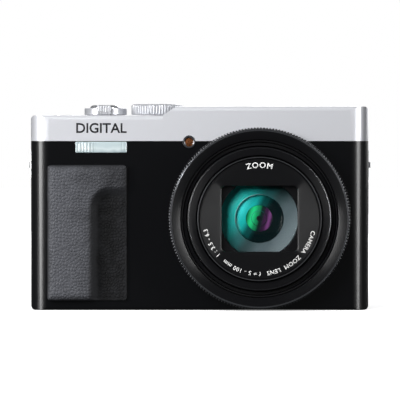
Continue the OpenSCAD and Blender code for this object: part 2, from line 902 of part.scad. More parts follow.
module screen_glass() {
    color("#0b0c0e") box([screen_x - screen_w / 2 + 1.4, screen_back - 0.75, screen_bottom + 1.3],
                         [screen_x + screen_w / 2 - 1.4, screen_back - 0.05,
                          screen_bottom + screen_h - 1.3]);
}

// ---- Rear controls ----

module control_dial() {
    color(dark_metal) slab_y(half_d - 1.5, half_d + 1) translate(dial_at) difference() {
        circle(dial_r);
        circle(5.2);
    }
}

module set_button() {
    color(dark_metal) {
        bar_y(dial_at[0], dial_at[1], 4.85, half_d - 3.4, half_d + 1.2);
        bar_y(dial_at[0], dial_at[1], 5.6, half_d - 4.2, half_d - 3.3);
    }
}

module rear_button(at) {
    color(dark_metal) {
        bar_y(at[0], at[1], button_r, half_d - 1.9, half_d + 0.5);
        bar_y(at[0], at[1], button_r + 0.6, half_d - 2.6, half_d - 1.8);
    }
}

front_cover();
top_cover();
rear_cover();
grip_pad();
thumb_pad();
flash_window();
flash_unit();
flash_capacitor();
af_lamp();
strap_lugs();
tripod_bush();
battery_holder();
battery();
memory_card();
main_board();
connector_sockets();
speaker_grille();
body_screws();
hinge_pins();
image_sensor();
lens_base();
fixed_barrel();
zoom_motor();
motor_pinion();
idler_gear();
cam_ring();
barrel_outer();
barrel_middle();
barrel_front();
name_ring();
front_lens();
barrier_blade(1, 0);  // blade_upper_inner
barrier_blade(1, 1);  // blade_upper_outer
barrier_blade(-1, 0);  // blade_lower_inner
barrier_blade(-1, 1);  // blade_lower_outer
zoom_lens_cell();
zoom_lens();
focus_lens_cell();
control_ring();
shutter_button();
zoom_lever();
power_button();
movie_button();
mode_dial();
eyecup();
eyepiece_lens();
finder_display();
diopter_dial();
screen_brackets();
screen_hinge_plate();
screen_frame();
screen_panel();
screen_glass();
control_dial();
set_button();
rear_button(play_at);  // play_button
rear_button(delete_at);  // delete_button
battery_door();
door_lock();
connector_door();
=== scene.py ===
import math

import bmesh
import bpy
import numpy as np
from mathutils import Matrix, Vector


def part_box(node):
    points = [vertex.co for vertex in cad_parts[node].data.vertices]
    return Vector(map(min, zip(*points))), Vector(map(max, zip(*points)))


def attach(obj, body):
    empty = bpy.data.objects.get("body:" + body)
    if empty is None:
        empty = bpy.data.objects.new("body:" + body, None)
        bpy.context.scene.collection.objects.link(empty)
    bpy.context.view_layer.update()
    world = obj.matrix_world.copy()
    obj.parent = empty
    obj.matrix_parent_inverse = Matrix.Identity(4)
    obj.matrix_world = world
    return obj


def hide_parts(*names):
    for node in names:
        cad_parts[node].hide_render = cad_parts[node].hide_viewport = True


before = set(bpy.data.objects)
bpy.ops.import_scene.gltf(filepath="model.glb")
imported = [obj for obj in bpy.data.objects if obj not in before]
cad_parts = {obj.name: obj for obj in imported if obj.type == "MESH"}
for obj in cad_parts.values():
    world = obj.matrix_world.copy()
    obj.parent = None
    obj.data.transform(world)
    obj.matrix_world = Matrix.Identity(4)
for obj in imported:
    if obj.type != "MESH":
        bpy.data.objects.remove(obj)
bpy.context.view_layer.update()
mm = 0.001

# ---- Studio ----
# A product table: a pale floor that is clear from below and a white surround, seen with a long lens
# from a little above mid height. Panels overhead and in front light the covers, an upright one at
# each side gives the rounded ends their highlights, and one lights the back.

scene = bpy.context.scene

camera_data = bpy.data.cameras.new("camera")
camera_data.sensor_width = 36
camera_data.lens = 323.5
camera_data.clip_start = 0.05
camera = bpy.data.objects.new("camera", camera_data)
camera.location = (0.1 * mm, -1200 * mm, 56 * mm)
aim = Vector((0.1 * mm, -6 * mm, 36.3 * mm))
camera.rotation_euler = (aim - camera.location).to_track_quat("-Z", "Y").to_euler()
scene.collection.objects.link(camera)
scene.camera = camera
scene.view_settings.view_transform = "Standard"


def soft_panel(name, place, size, power, at=(0, 0, 0.035)):
    """A rectangular light at a place, turned to face the object."""
    data = bpy.data.lights.new(name, "AREA")
    data.shape = "RECTANGLE"
    data.size, data.size_y = size
    data.energy = power
    panel = bpy.data.objects.new(name, data)
    panel.location = place
    panel.rotation_euler = (Vector(at) - Vector(place)).to_track_quat("-Z", "Y").to_euler()
    scene.collection.objects.link(panel)
    return panel


overhead = soft_panel("overhead", (-0.15, -0.30, 0.85), (0.9, 0.5), 3.6)
overhead.visible_glossy = False
front_key = soft_panel("front_key", (-0.25, -0.50, 0.26), (0.30, 0.35), 5.6)
front_key.visible_glossy = False
left_strip = soft_panel("left_strip", (-0.62, -0.36, 0.17), (0.20, 0.50), 5.2)
left_strip.visible_diffuse = False
right_strip = soft_panel("right_strip", (0.60, -0.40, 0.17), (0.13, 0.50), 3.6)
right_strip.visible_diffuse = False
soft_panel("behind", (0.3, 0.75, 0.35), (1.0, 0.6), 6)

world = bpy.data.worlds.new("surround")
world.use_nodes = True
scene.world = world
nodes, links = world.node_tree.nodes, world.node_tree.links
nodes.clear()
seen = nodes.new("ShaderNodeBackground")
seen.inputs["Strength"].default_value = 1.0
seen.inputs["Color"].default_value = (1, 1, 1, 1)
felt = nodes.new("ShaderNodeBackground")
felt.inputs["Color"].default_value = (0.93, 0.96, 1, 1)
felt.inputs["Strength"].default_value = 0.075
camera_ray = nodes.new("ShaderNodeLightPath")
choice = nodes.new("ShaderNodeMixShader")
surround = nodes.new("ShaderNodeOutputWorld")
links.new(camera_ray.outputs["Is Camera Ray"], choice.inputs[0])
links.new(felt.outputs[0], choice.inputs[1])
links.new(seen.outputs[0], choice.inputs[2])
links.new(choice.outputs[0], surround.inputs[0])


def new_material(name):
    """A node material with one Principled shader, returned with its nodes, links and shader."""
    material = bpy.data.materials.new(name)
    material.use_nodes = True
    tree = material.node_tree
    return material, tree.nodes, tree.links, tree.nodes["Principled BSDF"]


floor_paint, nodes, links, shader = new_material("floor")
shader.inputs["Base Color"].default_value = (0.80, 0.80, 0.80, 1)
shader.inputs["Roughness"].default_value = 0.8
shader.inputs["Specular IOR Level"].default_value = 0.0
shader.inputs["Emission Color"].default_value = (1, 1, 1, 1)
place = nodes.new("ShaderNodeTexCoord")
distance = nodes.new("ShaderNodeVectorMath")
distance.operation = "LENGTH"
glow = nodes.new("ShaderNodeMapRange")
glow.inputs["From Min"].default_value = 0.08
glow.inputs["From Max"].default_value = 0.45
glow.inputs["To Min"].default_value = 0.62
glow.inputs["To Max"].default_value = 1.0
links.new(place.outputs["Object"], distance.inputs[0])
links.new(distance.outputs["Value"], glow.inputs["Value"])
links.new(glow.outputs["Result"], shader.inputs["Emission Strength"])
which_side = nodes.new("ShaderNodeNewGeometry")
from_below = nodes.new("ShaderNodeBsdfTransparent")
one_way = nodes.new("ShaderNodeMixShader")
links.new(which_side.outputs["Backfacing"], one_way.inputs[0])
links.new(shader.outputs["BSDF"], one_way.inputs[1])
links.new(from_below.outputs["BSDF"], one_way.inputs[2])
links.new(one_way.outputs["Shader"], nodes["Material Output"].inputs["Surface"])
reach = 3.0
floor_mesh = bpy.data.meshes.new("floor")
floor_z = -0.05 * mm
floor_mesh.from_pydata([(-reach, -reach, floor_z), (reach, -reach, floor_z), (reach, reach, floor_z),
                        (-reach, reach, floor_z)], [], [(0, 1, 2, 3)])
floor_mesh.materials.append(floor_paint)
floor = bpy.data.objects.new("floor", floor_mesh)
floor.visible_glossy = False
floor.visible_diffuse = False
scene.collection.objects.link(floor)

# ---- Covers ----
# Three pressed light-alloy shells: a silver top cover, and a black front and rear cover that meet
# at a seam round the ends. Each is painted, with its cut edges broken.


def noise_over(nodes, links, scale, detail=2):
    """Noise read over the object's own coordinates: returns its factor, from 0 to 1."""
    place = nodes.new("ShaderNodeTexCoord")
    noise = nodes.new("ShaderNodeTexNoise")
    noise.inputs["Scale"].default_value = scale
    noise.inputs["Detail"].default_value = detail
    links.new(place.outputs["Object"], noise.inputs["Vector"])
    return noise.outputs["Fac"]


def gloss_from(nodes, links, shader, factor, low, high):
    """Roughness that runs from low to high as the factor goes from 0 to 1."""
    gloss = nodes.new("ShaderNodeMapRange")
    gloss.inputs["To Min"].default_value = low
    gloss.inputs["To Max"].default_value = high
    links.new(factor, gloss.inputs["Value"])
    links.new(gloss.outputs["Result"], shader.inputs["Roughness"])


def relief_from(nodes, links, shader, factor, strength, distance):
    """Small relief whose height is the factor times a distance in metres."""
    height = nodes.new("ShaderNodeBump")
    height.inputs["Strength"].default_value = strength
    height.inputs["Distance"].default_value = distance
    links.new(factor, height.inputs["Height"])
    links.new(height.outputs["Normal"], shader.inputs["Normal"])


def grain_paint(name, colour, roughness, metallic, sparkle, bump, scale):
    """Sprayed paint: fine noise sets small changes of tone, of gloss and of height."""
    material, nodes, links, shader = new_material(name)
    fine = noise_over(nodes, links, scale, 3)
    tone = nodes.new("ShaderNodeValToRGB")
    dark = [c * (1 - sparkle) for c in colour]
    light = [min(1, c * (1 + sparkle)) for c in colour]
    tone.color_ramp.elements[0].position = 0.3
    tone.color_ramp.elements[0].color = (*dark, 1)
    tone.color_ramp.elements[1].position = 0.7
    tone.color_ramp.elements[1].color = (*light, 1)
    links.new(fine, tone.inputs["Fac"])
    links.new(tone.outputs["Color"], shader.inputs["Base Color"])
    gloss_from(nodes, links, shader, fine, roughness * 0.88, roughness * 1.12)
    relief_from(nodes, links, shader, fine, bump, 0.02 * mm)
    shader.inputs["Metallic"].default_value = metallic
    return material


def from_cad(node, name, material, edge, corner=32):
    """A merged copy of a CAD solid, its flat faces joined and its sharp edges bevelled."""
    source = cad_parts[node]
    mesh = source.data.copy()
    work = bmesh.new()
    work.from_mesh(mesh)
    bmesh.ops.remove_doubles(work, verts=work.verts, dist=0.5e-6)
    bmesh.ops.dissolve_limit(work, angle_limit=math.radians(0.4), verts=work.verts, edges=work.edges)
    work.to_mesh(mesh)
    work.free()
    mesh.materials.clear()
    mesh.materials.append(material)
    mesh.shade_smooth()
    mesh.set_sharp_from_angle(angle=math.radians(corner))
    piece = bpy.data.objects.new(name, mesh)
    scene.collection.objects.link(piece)
    bevel = piece.modifiers.new("edges", "BEVEL")
    bevel.width = edge
    bevel.segments = 2
    bevel.limit_method = "ANGLE"
    bevel.angle_limit = math.radians(corner)
    bevel.harden_normals = True
    bevel.use_clamp_overlap = True
    even = piece.modifiers.new("even_faces", "WEIGHTED_NORMAL")
    even.weight = 100
    even.keep_sharp = True
    return piece


def place_on(piece, body, slot, *replaced):
    """Rides a finished piece on its body and hides the CAD nodes that it stands for; the slot is not used.
    """
    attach(piece, body)
    if replaced:
        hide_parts(*replaced)


silver_paint = grain_paint("silver_paint", (0.76, 0.77, 0.81), 0.36, 0.50, 0.05, 0.25, 9000)
black_paint = grain_paint("black_paint", (0.0014, 0.0015, 0.0020), 0.30, 0.0, 0.10, 0.15, 7000)

top_cover = from_cad("top_cover", "top_shell", silver_paint, 0.12 * mm)
place_on(top_cover, "body", "silver_paint", "top_cover")
front_cover = from_cad("front_cover", "front_shell", black_paint, 0.12 * mm)
place_on(front_cover, "body", "black_paint", "front_cover")
rear_cover = from_cad("rear_cover", "rear_shell", black_paint, 0.12 * mm)
place_on(rear_cover, "body", "black_paint", "rear_cover")

# ---- Control ring and lens barrels ----
# Turned light-alloy rings, anodised black: the wide ring turns in the hand and has a fine knurl round
# its rim, and the barrels that telescope inside it have their front lips turned bright at the edge.


def box_mm(node):
    """The lowest and highest corners of a CAD node's box, in millimetres."""
    low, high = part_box(node)
    return np.array(low) / mm, np.array(high) / mm


lens_low, lens_high = box_mm("control_ring")
axis_x, axis_z = ((lens_low + lens_high) / 2)[[0, 2]]
ring_front = -lens_low[1]
ring_back = -lens_high[1]
ring_radius = (lens_high[0] - lens_low[0]) / 2
ring_bore = 25.88
fixed_bore = 25.2
outer_bore = 23.9
middle_bore = 22.3
middle_lip_bore = 20.8
sides = 288


def make_piece(name, points, faces, material, smooth=30, spread=None, ink=False):
    """A mesh from points in millimetres and faces; edges sharper than the angle stay crisp. A solid
    has its poles merged and its faces turned outward; a sheet of ink gets a thickness behind it."""
    mesh = bpy.data.meshes.new(name)
    faces = faces if isinstance(faces, list) else faces.tolist()
    mesh.from_pydata((np.asarray(points) * mm).tolist(), [], faces)
    mesh.materials.append(material)
    if spread is not None:
        mesh.uv_layers.new(name="lathe").data.foreach_set("uv", spread.ravel())
    if not ink:
        work = bmesh.new()
        work.from_mesh(mesh)
        bmesh.ops.remove_doubles(work, verts=work.verts, dist=1e-7)
        bmesh.ops.delete(work, geom=[e for e in work.edges if not e.link_faces], context="EDGES")
        bmesh.ops.recalc_face_normals(work, faces=work.faces)
        work.to_mesh(mesh)
        work.free()
    mesh.validate()
    mesh.shade_smooth()
    mesh.set_sharp_from_angle(angle=math.radians(smooth))
    piece = bpy.data.objects.new(name, mesh)
    scene.collection.objects.link(piece)
    if ink:
        film = piece.modifiers.new("film", "SOLIDIFY")
        film.thickness = 0.03 * mm
        film.offset = -1
    return piece


def grid_faces(rows, columns, close_rows=False, close_columns=False):
    """Quads between neighbours of a grid of points, numbered row by row; a closed way joins its ends."""
    r = np.arange(rows if close_rows else rows - 1)
    c = np.arange(columns if close_columns else columns - 1)
    r, c = (a.ravel() for a in np.meshgrid(r, c, indexing="ij"))
    r2, c2 = (r + 1) % rows, (c + 1) % columns
    return np.stack([r * columns + c, r * columns + c2, r2 * columns + c2, r2 * columns + c], axis=1)


def rounded(corners, radius, steps=4, closed=True):
    """A profile whose corners are replaced by small arcs: each arc is the quadratic curve from a
    point a radius before the corner, bent by the corner, to a point a radius after it."""
    p = np.asarray(corners, float)
    before, after = np.roll(p, 1, axis=0) - p, np.roll(p, -1, axis=0) - p
    size_before = np.linalg.norm(before, axis=1, keepdims=True)
    size_after = np.linalg.norm(after, axis=1, keepdims=True)
    r = np.broadcast_to(np.asarray(radius, float).reshape(-1, 1), size_before.shape)
    start = p + before / size_before * np.minimum(r, size_before * 0.45)
    end = p + after / size_after * np.minimum(r, size_after * 0.45)
    t = np.linspace(0, 1, steps + 1)[None, :, None]
    arc = (1 - t) ** 2 * start[:, None] + 2 * t * (1 - t) * p[:, None] + t ** 2 * end[:, None]
    if not closed:
        return np.concatenate([p[:1], arc[1:-1].reshape(-1, 2), p[-1:]])
    return arc.reshape(-1, 2)


def turned(name, profile, material, count=sides, swell=None, closed=True, smooth=30,
           centre=(axis_x, 0, axis_z), way="front"):
    """A solid of revolution. A profile point is (radius, distance along the axis), and the angle
    goes round anticlockwise as seen from the axis's tip; swell adds to the radius point by point.
    The map's u follows the angle, and its v is the length along the profile in tenths of a metre."""
    profile = np.asarray(profile, float)
    one, two, along = {"front": ((1, 0, 0), (0, 0, 1), (0, -1, 0)),
                       "up": ((1, 0, 0), (0, 1, 0), (0, 0, 1)),
                       "back": ((0, 0, 1), (1, 0, 0), (0, 1, 0)),
                       "down": ((0, 1, 0), (1, 0, 0), (0, 0, -1))}[way]
    angle = np.arange(count) * 2 * np.pi / count
    radius = np.repeat(profile[:, :1], count, axis=1)
    if swell is not None:
        radius = radius + swell(profile, angle)
    across = radius[..., None] * (np.cos(angle)[:, None] * one + np.sin(angle)[:, None] * two)
    points = np.array(centre) + across + profile[:, 1, None, None] * np.array(along)
    rows = len(profile)
    faces = grid_faces(rows, count, close_rows=closed, close_columns=True)
    steps = np.linalg.norm(np.diff(profile, axis=0, append=profile[:1]), axis=1)
    length = np.concatenate([[0], np.cumsum(steps)]) / 100
    r, c = faces[:, 0] // count, faces[:, 0] % count
    u = np.stack([c, c + 1, c + 1, c], axis=1) / count
    v = length[np.stack([r, r, r + 1, r + 1], axis=1)]
    return make_piece(name, points.reshape(-1, 3), faces, material, smooth, np.stack([u, v], axis=-1))


def two_tone(nodes, links, shader, factor, first, second):
    """A base colour that goes from the first colour to the second with the factor."""
    tone = nodes.new("ShaderNodeMix")
    tone.data_type = "RGBA"
    tone.inputs["A"].default_value = (*first, 1)
    tone.inputs["B"].default_value = (*second, 1)
    links.new(factor, tone.inputs["Factor"])
    links.new(tone.outputs["Result"], shader.inputs["Base Color"])


def turned_black(name, colour, roughness, lines, metallic=0.0, specular=0.5, streak=0.0):
    """Metal off the lathe: fine tool lines, so many to a metre of the profile, change its gloss and
    height, and its highlights are drawn out across them."""
    material, nodes, links, shader = new_material(name)
    lathe = nodes.new("ShaderNodeUVMap")
    lathe.uv_map = "lathe"
    parts = nodes.new("ShaderNodeSeparateXYZ")
    links.new(lathe.outputs["UV"], parts.inputs["Vector"])
    cut = nodes.new("ShaderNodeTexNoise")
    cut.noise_dimensions = "1D"
    cut.inputs["Scale"].default_value = lines * 0.1
    cut.inputs["Detail"].default_value = 4
    links.new(parts.outputs["Y"], cut.inputs["W"])
    gloss_from(nodes, links, shader, cut.outputs["Fac"], roughness * 0.8, roughness * 1.2)
    relief_from(nodes, links, shader, cut.outputs["Fac"], 0.35, 0.01 * mm)
    two_tone(nodes, links, shader, cut.outputs["Fac"], [c * 0.85 for c in colour],
             [min(1, c * 1.15) for c in colour])
    shader.inputs["Metallic"].default_value = metallic
    shader.inputs["Specular IOR Level"].default_value = specular
    if streak:
        round_axis = nodes.new("ShaderNodeTangent")
        round_axis.direction_type = "UV_MAP"
        round_axis.uv_map = "lathe"
        links.new(round_axis.outputs["Tangent"], shader.inputs["Tangent"])
        shader.inputs["Anisotropic"].default_value = streak
        shader.inputs["Anisotropic Rotation"].default_value = 0.25
    return material


anodised = turned_black("anodised_ring", (0.003, 0.003, 0.0036), 0.36, 6000, 0.0, 0.5, 0.8)
anodised_bright = turned_black("bright_cut_edge", (0.42, 0.43, 0.45), 0.28, 6000, 1.0)
barrel_satin = turned_black("barrel_satin", (0.003, 0.003, 0.0036), 0.38, 5000, 0.0, 0.65, 0.8)
barrel_matt = turned_black("barrel_matt", (0.003, 0.003, 0.0035), 0.50, 5000, 0.0, 0.3)

knurl_count = 184
knurl_depth = 0.72


def knurl(profile, angle):
    """The rim's ribs: crests of a rounded saw round the ring, deepest along the middle of the rim."""
    on_rim = (profile[:, 0] > ring_radius - 0.3) & (profile[:, 1] > ring_back + 0.6)
    wave = np.abs(np.sin(angle * knurl_count / 2)) ** 0.7
    return -knurl_depth * on_rim[:, None] * (1 - wave)[None, :]


knurl_metal = grain_paint("knurl_metal", (0.060, 0.061, 0.066), 0.26, 0.7, 0.10, 0.2, 4000)
control_ring = turned("turning_ring", np.array([
    (ring_bore, ring_back), (ring_radius - 1.1, ring_back), (ring_radius - 0.95, ring_back + 0.1),
    (ring_radius - 0.95, ring_front - 0.95), (ring_radius - 0.8, ring_front - 0.62),
    (ring_radius - 0.68, ring_front - 0.5), (ring_radius - 1.05, ring_front - 0.06),
    (ring_radius - 1.2, ring_front - 0.01), (ring_radius - 1.35, ring_front - 0.03),
    (ring_radius - 3.9, ring_front - 0.42), (ring_radius - 4.05, ring_front - 0.55),
    (ring_bore, ring_front - 1.7)]), anodised, smooth=50)
place_on(control_ring, "control_ring", "ring_black", "control_ring")
ring_knurl = turned("ring_knurl", np.concatenate([
    [(ring_radius - 1.0, ring_back + 0.3), (ring_radius - 0.6, ring_back + 0.3),
     (ring_radius, ring_back + 0.75)],
    np.stack([np.full(6, ring_radius), np.linspace(ring_back + 1.0, ring_front - 1.6, 6)], axis=1),
    [(ring_radius - 0.12, ring_front - 1.3), (ring_radius - 0.75, ring_front - 0.98),
     (ring_radius - 1.0, ring_front - 0.98)]]), knurl_metal, knurl_count * 8, knurl, smooth=50)
place_on(ring_knurl, "control_ring", "ring_black")

ring_edge = turned("ring_cut_edge", np.array([
    (ring_radius - 0.70, ring_front - 0.47), (ring_radius - 1.03, ring_front - 0.03),
    (ring_radius - 1.18, ring_front), (ring_radius - 1.20, ring_front - 0.05),
    (ring_radius - 0.72, ring_front - 0.55)]), anodised_bright)
place_on(ring_edge, "control_ring", "ring_black")


def barrel_profile(node, bore, wall_bore, lip, front_round):
    """A tube with a lip turned in at its front: corners from the rear outside, forward and back."""
    low, high = box_mm(node)
    outer = (high[0] - low[0]) / 2
    rear, front = -high[1], -low[1]
    corners = [(outer, rear), (outer, front), (bore, front - 0.12), (bore, front - lip),
               (wall_bore, front - lip - 0.3), (wall_bore, rear)]
    return rounded(corners, [0.1, front_round, 0.2, 0.1, 0.1, 0.1], 5)


fixed_mouth = turned("fixed_barrel_mouth", barrel_profile("fixed_barrel", fixed_bore, fixed_bore, 1.5, 0.45),
                     barrel_matt)
place_on(fixed_mouth, "body", "barrel_black", "fixed_barrel")

outer_barrel = turned("outer_barrel", barrel_profile("barrel_outer", outer_bore, outer_bore, 1.4, 0.3),
                      barrel_matt)
place_on(outer_barrel, "barrel_outer", "barrel_black", "barrel_outer")

middle_profile = barrel_profile("barrel_middle", middle_lip_bore, middle_bore, 2.0, 0.4)
middle_barrel = turned("middle_barrel", middle_profile, barrel_satin)
place_on(middle_barrel, "barrel_middle", "barrel_black", "barrel_middle")
middle_front = -box_mm("barrel_middle")[0][1]
middle_edge = turned("middle_barrel_edge", np.array([
    (23.58, middle_front - 0.32), (23.42, middle_front - 0.09), (23.20, middle_front),
    (23.16, middle_front - 0.05), (23.5, middle_front - 0.36)]), anodised_bright)
place_on(middle_edge, "barrel_middle", "ring_black")

# ---- Front tube, name ring and its lettering ----
# The front tube carries a flat black plate with a bevelled window for the lens. Plain lens data is
# printed round the plate in white, as on any zoom lens.

tube_front = -box_mm("barrel_front")[0][1]
plate_low, plate_high = box_mm("name_ring")
plate_front = -plate_low[1]
plate_back = -plate_high[1]
plate_radius = (plate_high[0] - plate_low[0]) / 2
window_half = (12.4, 10.75)

front_tube = turned("front_tube", np.concatenate([
    rounded([(20.4, 2.4), (20.4, tube_front)], 0.1, 3, closed=False)[:1],
    np.array([(20.4, tube_front - 0.3), (20.32, tube_front - 0.09), (20.2, tube_front - 0.02),
              (20.0, tube_front - 0.05), (19.78, tube_front - 0.32), (19.75, plate_front - 0.1),
              (19.75, 21.65), (19.3, 21.6), (13.0, 21.6), (12.95, 21.5), (12.95, 12.7), (13.1, 12.6),
              (19.2, 12.6), (19.2, 2.5), (19.3, 2.4)])]), barrel_matt)
place_on(front_tube, "barrel_front", "barrel_black", "barrel_front")
tube_edge = turned("front_tube_edge", np.array([
    (20.36, tube_front - 0.15), (20.24, tube_front), (20.02, tube_front - 0.01),
    (20.04, tube_front - 0.06), (20.24, tube_front - 0.1)]), anodised_bright)
place_on(tube_edge, "barrel_front", "ring_black")


def window_outline(half, corner, count):
    """A rounded rectangle seen from the front, one point for each equal step of angle: the ray from
    the centre meets either a straight side or the circle that rounds the corner."""
    angle = (np.arange(count) + 0.5) * 2 * np.pi / count
    c, s = np.abs(np.cos(angle)), np.abs(np.sin(angle))
    side = np.minimum(half[0] / c, half[1] / s)
    cx, cz = half[0] - corner, half[1] - corner
    along = c * cx + s * cz
    inside = corner ** 2 - (cx ** 2 + cz ** 2 - along ** 2)
    arc = along + np.sqrt(np.maximum(inside, 0))
    in_corner = (side * c > cx) & (side * s > cz)
    r = np.where(in_corner, arc, side)
    return angle, r


def window_plate(name, material, count=480):
    """The plate: rings of points that go from its rim across its face to the window, down the
    window's bevel and back along its rear face; each ring blends a circle into the window."""
    angle, window = window_outline(window_half, 1.5, count)
    circle = np.full(count, plate_radius)
    rings = [(circle, plate_back), (circle, plate_front - 0.15), (circle - 0.12, plate_front)]
    rings += [(circle + (window + 0.5 - circle) * t, plate_front) for t in (0.3, 0.6, 0.85, 1.0)]
    rings += [(window + 0.22, plate_front - 0.12), (window, plate_front - 0.42), (window, plate_back)]
    r = np.stack([ring[0] for ring in rings])
    f = np.stack([np.full(count, ring[1]) for ring in rings])
    points = np.stack([axis_x + r * np.cos(angle), -f, axis_z + r * np.sin(angle)], axis=-1)
    faces = grid_faces(len(rings), count, close_rows=True, close_columns=True)
    row, column = faces[:, 0] // count, faces[:, 0] % count
    u = np.stack([column, column + 1, column + 1, column], axis=1) / count
    v = np.stack([row, row, row + 1, row + 1], axis=1) * 0.02
    return make_piece(name, points.reshape(-1, 3), faces, material, 25, np.stack([u, v], axis=-1))


plate_satin = turned_black("name_ring_satin", (0.0035, 0.0035, 0.004), 0.40, 4500, 0.0, 0.7, 0.85)
name_plate = window_plate("name_plate", plate_satin)
place_on(name_plate, "barrel_front", "barrel_black", "name_ring")


def print_ink(name, colour, roughness):
    """Screen-printed ink, a little uneven in tone."""
    material, nodes, links, shader = new_material(name)
    two_tone(nodes, links, shader, noise_over(nodes, links, 4000), [c * 0.9 for c in colour], colour)
    shader.inputs["Roughness"].default_value = roughness
    return material


def flat_words(words, size, weight=0.0, spacing=1.0):
    """Letters as a flat mesh in millimetres, centred on the origin: points and faces."""
    curve = bpy.data.curves.new("words", "FONT")
    curve.body = words
    curve.size = size
    curve.align_x = "CENTER"
    curve.align_y = "CENTER"
    curve.offset = weight
    curve.space_character = spacing
    curve.resolution_u = 4
    letters = bpy.data.objects.new("words", curve)
    scene.collection.objects.link(letters)
    bpy.context.view_layer.update()
    mesh = bpy.data.meshes.new_from_object(letters)
    work = bmesh.new()
    work.from_mesh(mesh)
    bmesh.ops.triangulate(work, faces=work.faces)
    long_edges = [e for e in work.edges if e.calc_length() > size * 0.25]
    bmesh.ops.subdivide_edges(work, edges=long_edges, cuts=2)
    bmesh.ops.dissolve_degenerate(work, dist=1e-4, edges=work.edges)
    bmesh.ops.triangulate(work, faces=work.faces)
    work.normal_update()
    bmesh.ops.reverse_faces(work, faces=[f for f in work.faces if f.normal.z < 0])
    work.verts.index_update()
    work.verts.ensure_lookup_table()
    points = np.array([v.co for v in work.verts])
    faces = np.array([[v.index for v in f.verts] for f in work.faces])
    work.free()
    bpy.data.objects.remove(letters)
    bpy.data.curves.remove(curve)
    bpy.data.meshes.remove(mesh)
    return points, faces


def words_round_lens(name, words, size, radius, middle_angle, material, weight=0.02, spacing=1.0):
    """Letters bent round the lens axis: the way along a line becomes an angle, clockwise, and the
    way up the line becomes radius, so the letters stand with their heads outward."""
    points, faces = flat_words(words, size, weight, spacing)
    angle = middle_angle - points[:, 0] / radius
    r = radius + points[:, 1]
    bent = np.stack([axis_x + r * np.cos(angle), np.full(len(r), -plate_front - 0.012),
                     axis_z + r * np.sin(angle)], axis=1)
    return make_piece(name, bent, faces, material, ink=True)


white_ink = print_ink("white_ink", (0.75, 0.75, 0.74), 0.5)
upper_words = words_round_lens("upper_lens_words", "ZOOM", 2.6, 17.5, np.pi / 2, white_ink, 0.05, 1.2)
place_on(upper_words, "barrel_front", "barrel_black")
lens_data = "CAMERA  ZOOM  LENS   f = 5 - 100 mm   1 : 3.5 - 6.3"
lower_words = words_round_lens("lower_lens_words", lens_data, 1.95, 17.95, np.radians(269), white_ink,
                               0.03, 1.1)
place_on(lower_words, "barrel_front", "barrel_black")

# ---- Lens glass ----
# A coated front element in a black cell. Behind it stand a dished baffle, a smaller domed element
# and the small rear elements round a dark pupil. Their blue-green, green and magenta tints are painted
# reflections and painted shade, slanted across each piece.


def glass_with_painted_light(name, stops, roughness, turn, span):
    """Glass over a dark cell whose colour is painted light: its tint runs across the element along one
    slanted line, bright coloured parts standing in for the coating's reflections and dark ones for
    shade; stops are (place along the line, colour)."""
    material, nodes, links, shader = new_material(name)
    place = nodes.new("ShaderNodeTexCoord")
    centre = nodes.new("ShaderNodeMapping")
    centre.vector_type = "TEXTURE"
    centre.inputs["Location"].default_value = (axis_x * mm, 0, axis_z * mm)
    centre.inputs["Rotation"].default_value = (0, -turn, 0)
    links.new(place.outputs["Object"], centre.inputs["Vector"])
    parts = nodes.new("ShaderNodeSeparateXYZ")
    links.new(centre.outputs["Vector"], parts.inputs["Vector"])
    along = nodes.new("ShaderNodeMapRange")
    along.inputs["From Min"].default_value = -span * mm
    along.inputs["From Max"].default_value = span * mm
    links.new(parts.outputs["X"], along.inputs["Value"])
    tint = nodes.new("ShaderNodeValToRGB")
    ramp = tint.color_ramp
    ramp.interpolation = "EASE"
    while len(ramp.elements) < len(stops):
        ramp.elements.new(0.5)
    for element, (at, colour) in zip(ramp.elements, stops):
        element.position = at
        element.color = (*colour, 1)
    links.new(along.outputs["Result"], tint.inputs["Fac"])
    links.new(tint.outputs["Color"], shader.inputs["Base Color"])
    shader.inputs["Roughness"].default_value = roughness
    shader.inputs["Coat Weight"].default_value = 1.0
    shader.inputs["Coat Roughness"].default_value = 0.03
    return material


def dome(sphere, apex, inner, outer, steps):
    """The profile of a spherical cap between two radii: forward distance is the apex less the sag."""
    r = np.linspace(inner, outer, steps)
    return np.stack([r, apex - (sphere - np.sqrt(sphere ** 2 - r ** 2))], axis=1)


# Painted reflections and painted shade: each element's bright and dark tints are fixed on it and don't move
# with the view.
glass_back = 14.6
baffle_painted_light = glass_with_painted_light("baffle_painted_light", [(0.0, (0.05, 1.0, 0.92)), (0.20, (0.03, 0.75, 0.68)),
                                     (0.42, (0.04, 0.20, 0.20)), (0.56, (0.05, 0.09, 0.095)),
                                     (0.75, (0.15, 0.20, 0.22)), (1.0, (0.32, 0.40, 0.43))], 0.30,
                     np.radians(-35), 12.5)
baffle = turned("lens_baffle", np.concatenate([dome(40, 17.4, 8.0, 12.8, 10)[::-1],
                                               [(8.0, glass_back), (12.8, glass_back)]]), baffle_painted_light)
place_on(baffle, "barrel_front", "coated_glass", "front_lens")
second_painted_light = glass_with_painted_light("blue_green_painted_light", [(0.0, (0.08, 1.0, 1.0)), (0.24, (0.012, 0.56, 0.52)),
                                       (0.42, (0.002, 0.080, 0.075)), (0.60, (0.001, 0.001, 0.0015)),
                                       (1.0, (0.002, 0.004, 0.005))], 0.10, np.radians(-30), 7.9)
inner_dome = turned("second_element", np.concatenate([dome(16, 17.1, 4.4, 7.9, 14)[::-1],
                                                      [(4.4, glass_back), (7.9, glass_back)]]), second_painted_light)
place_on(inner_dome, "barrel_front", "coated_glass")
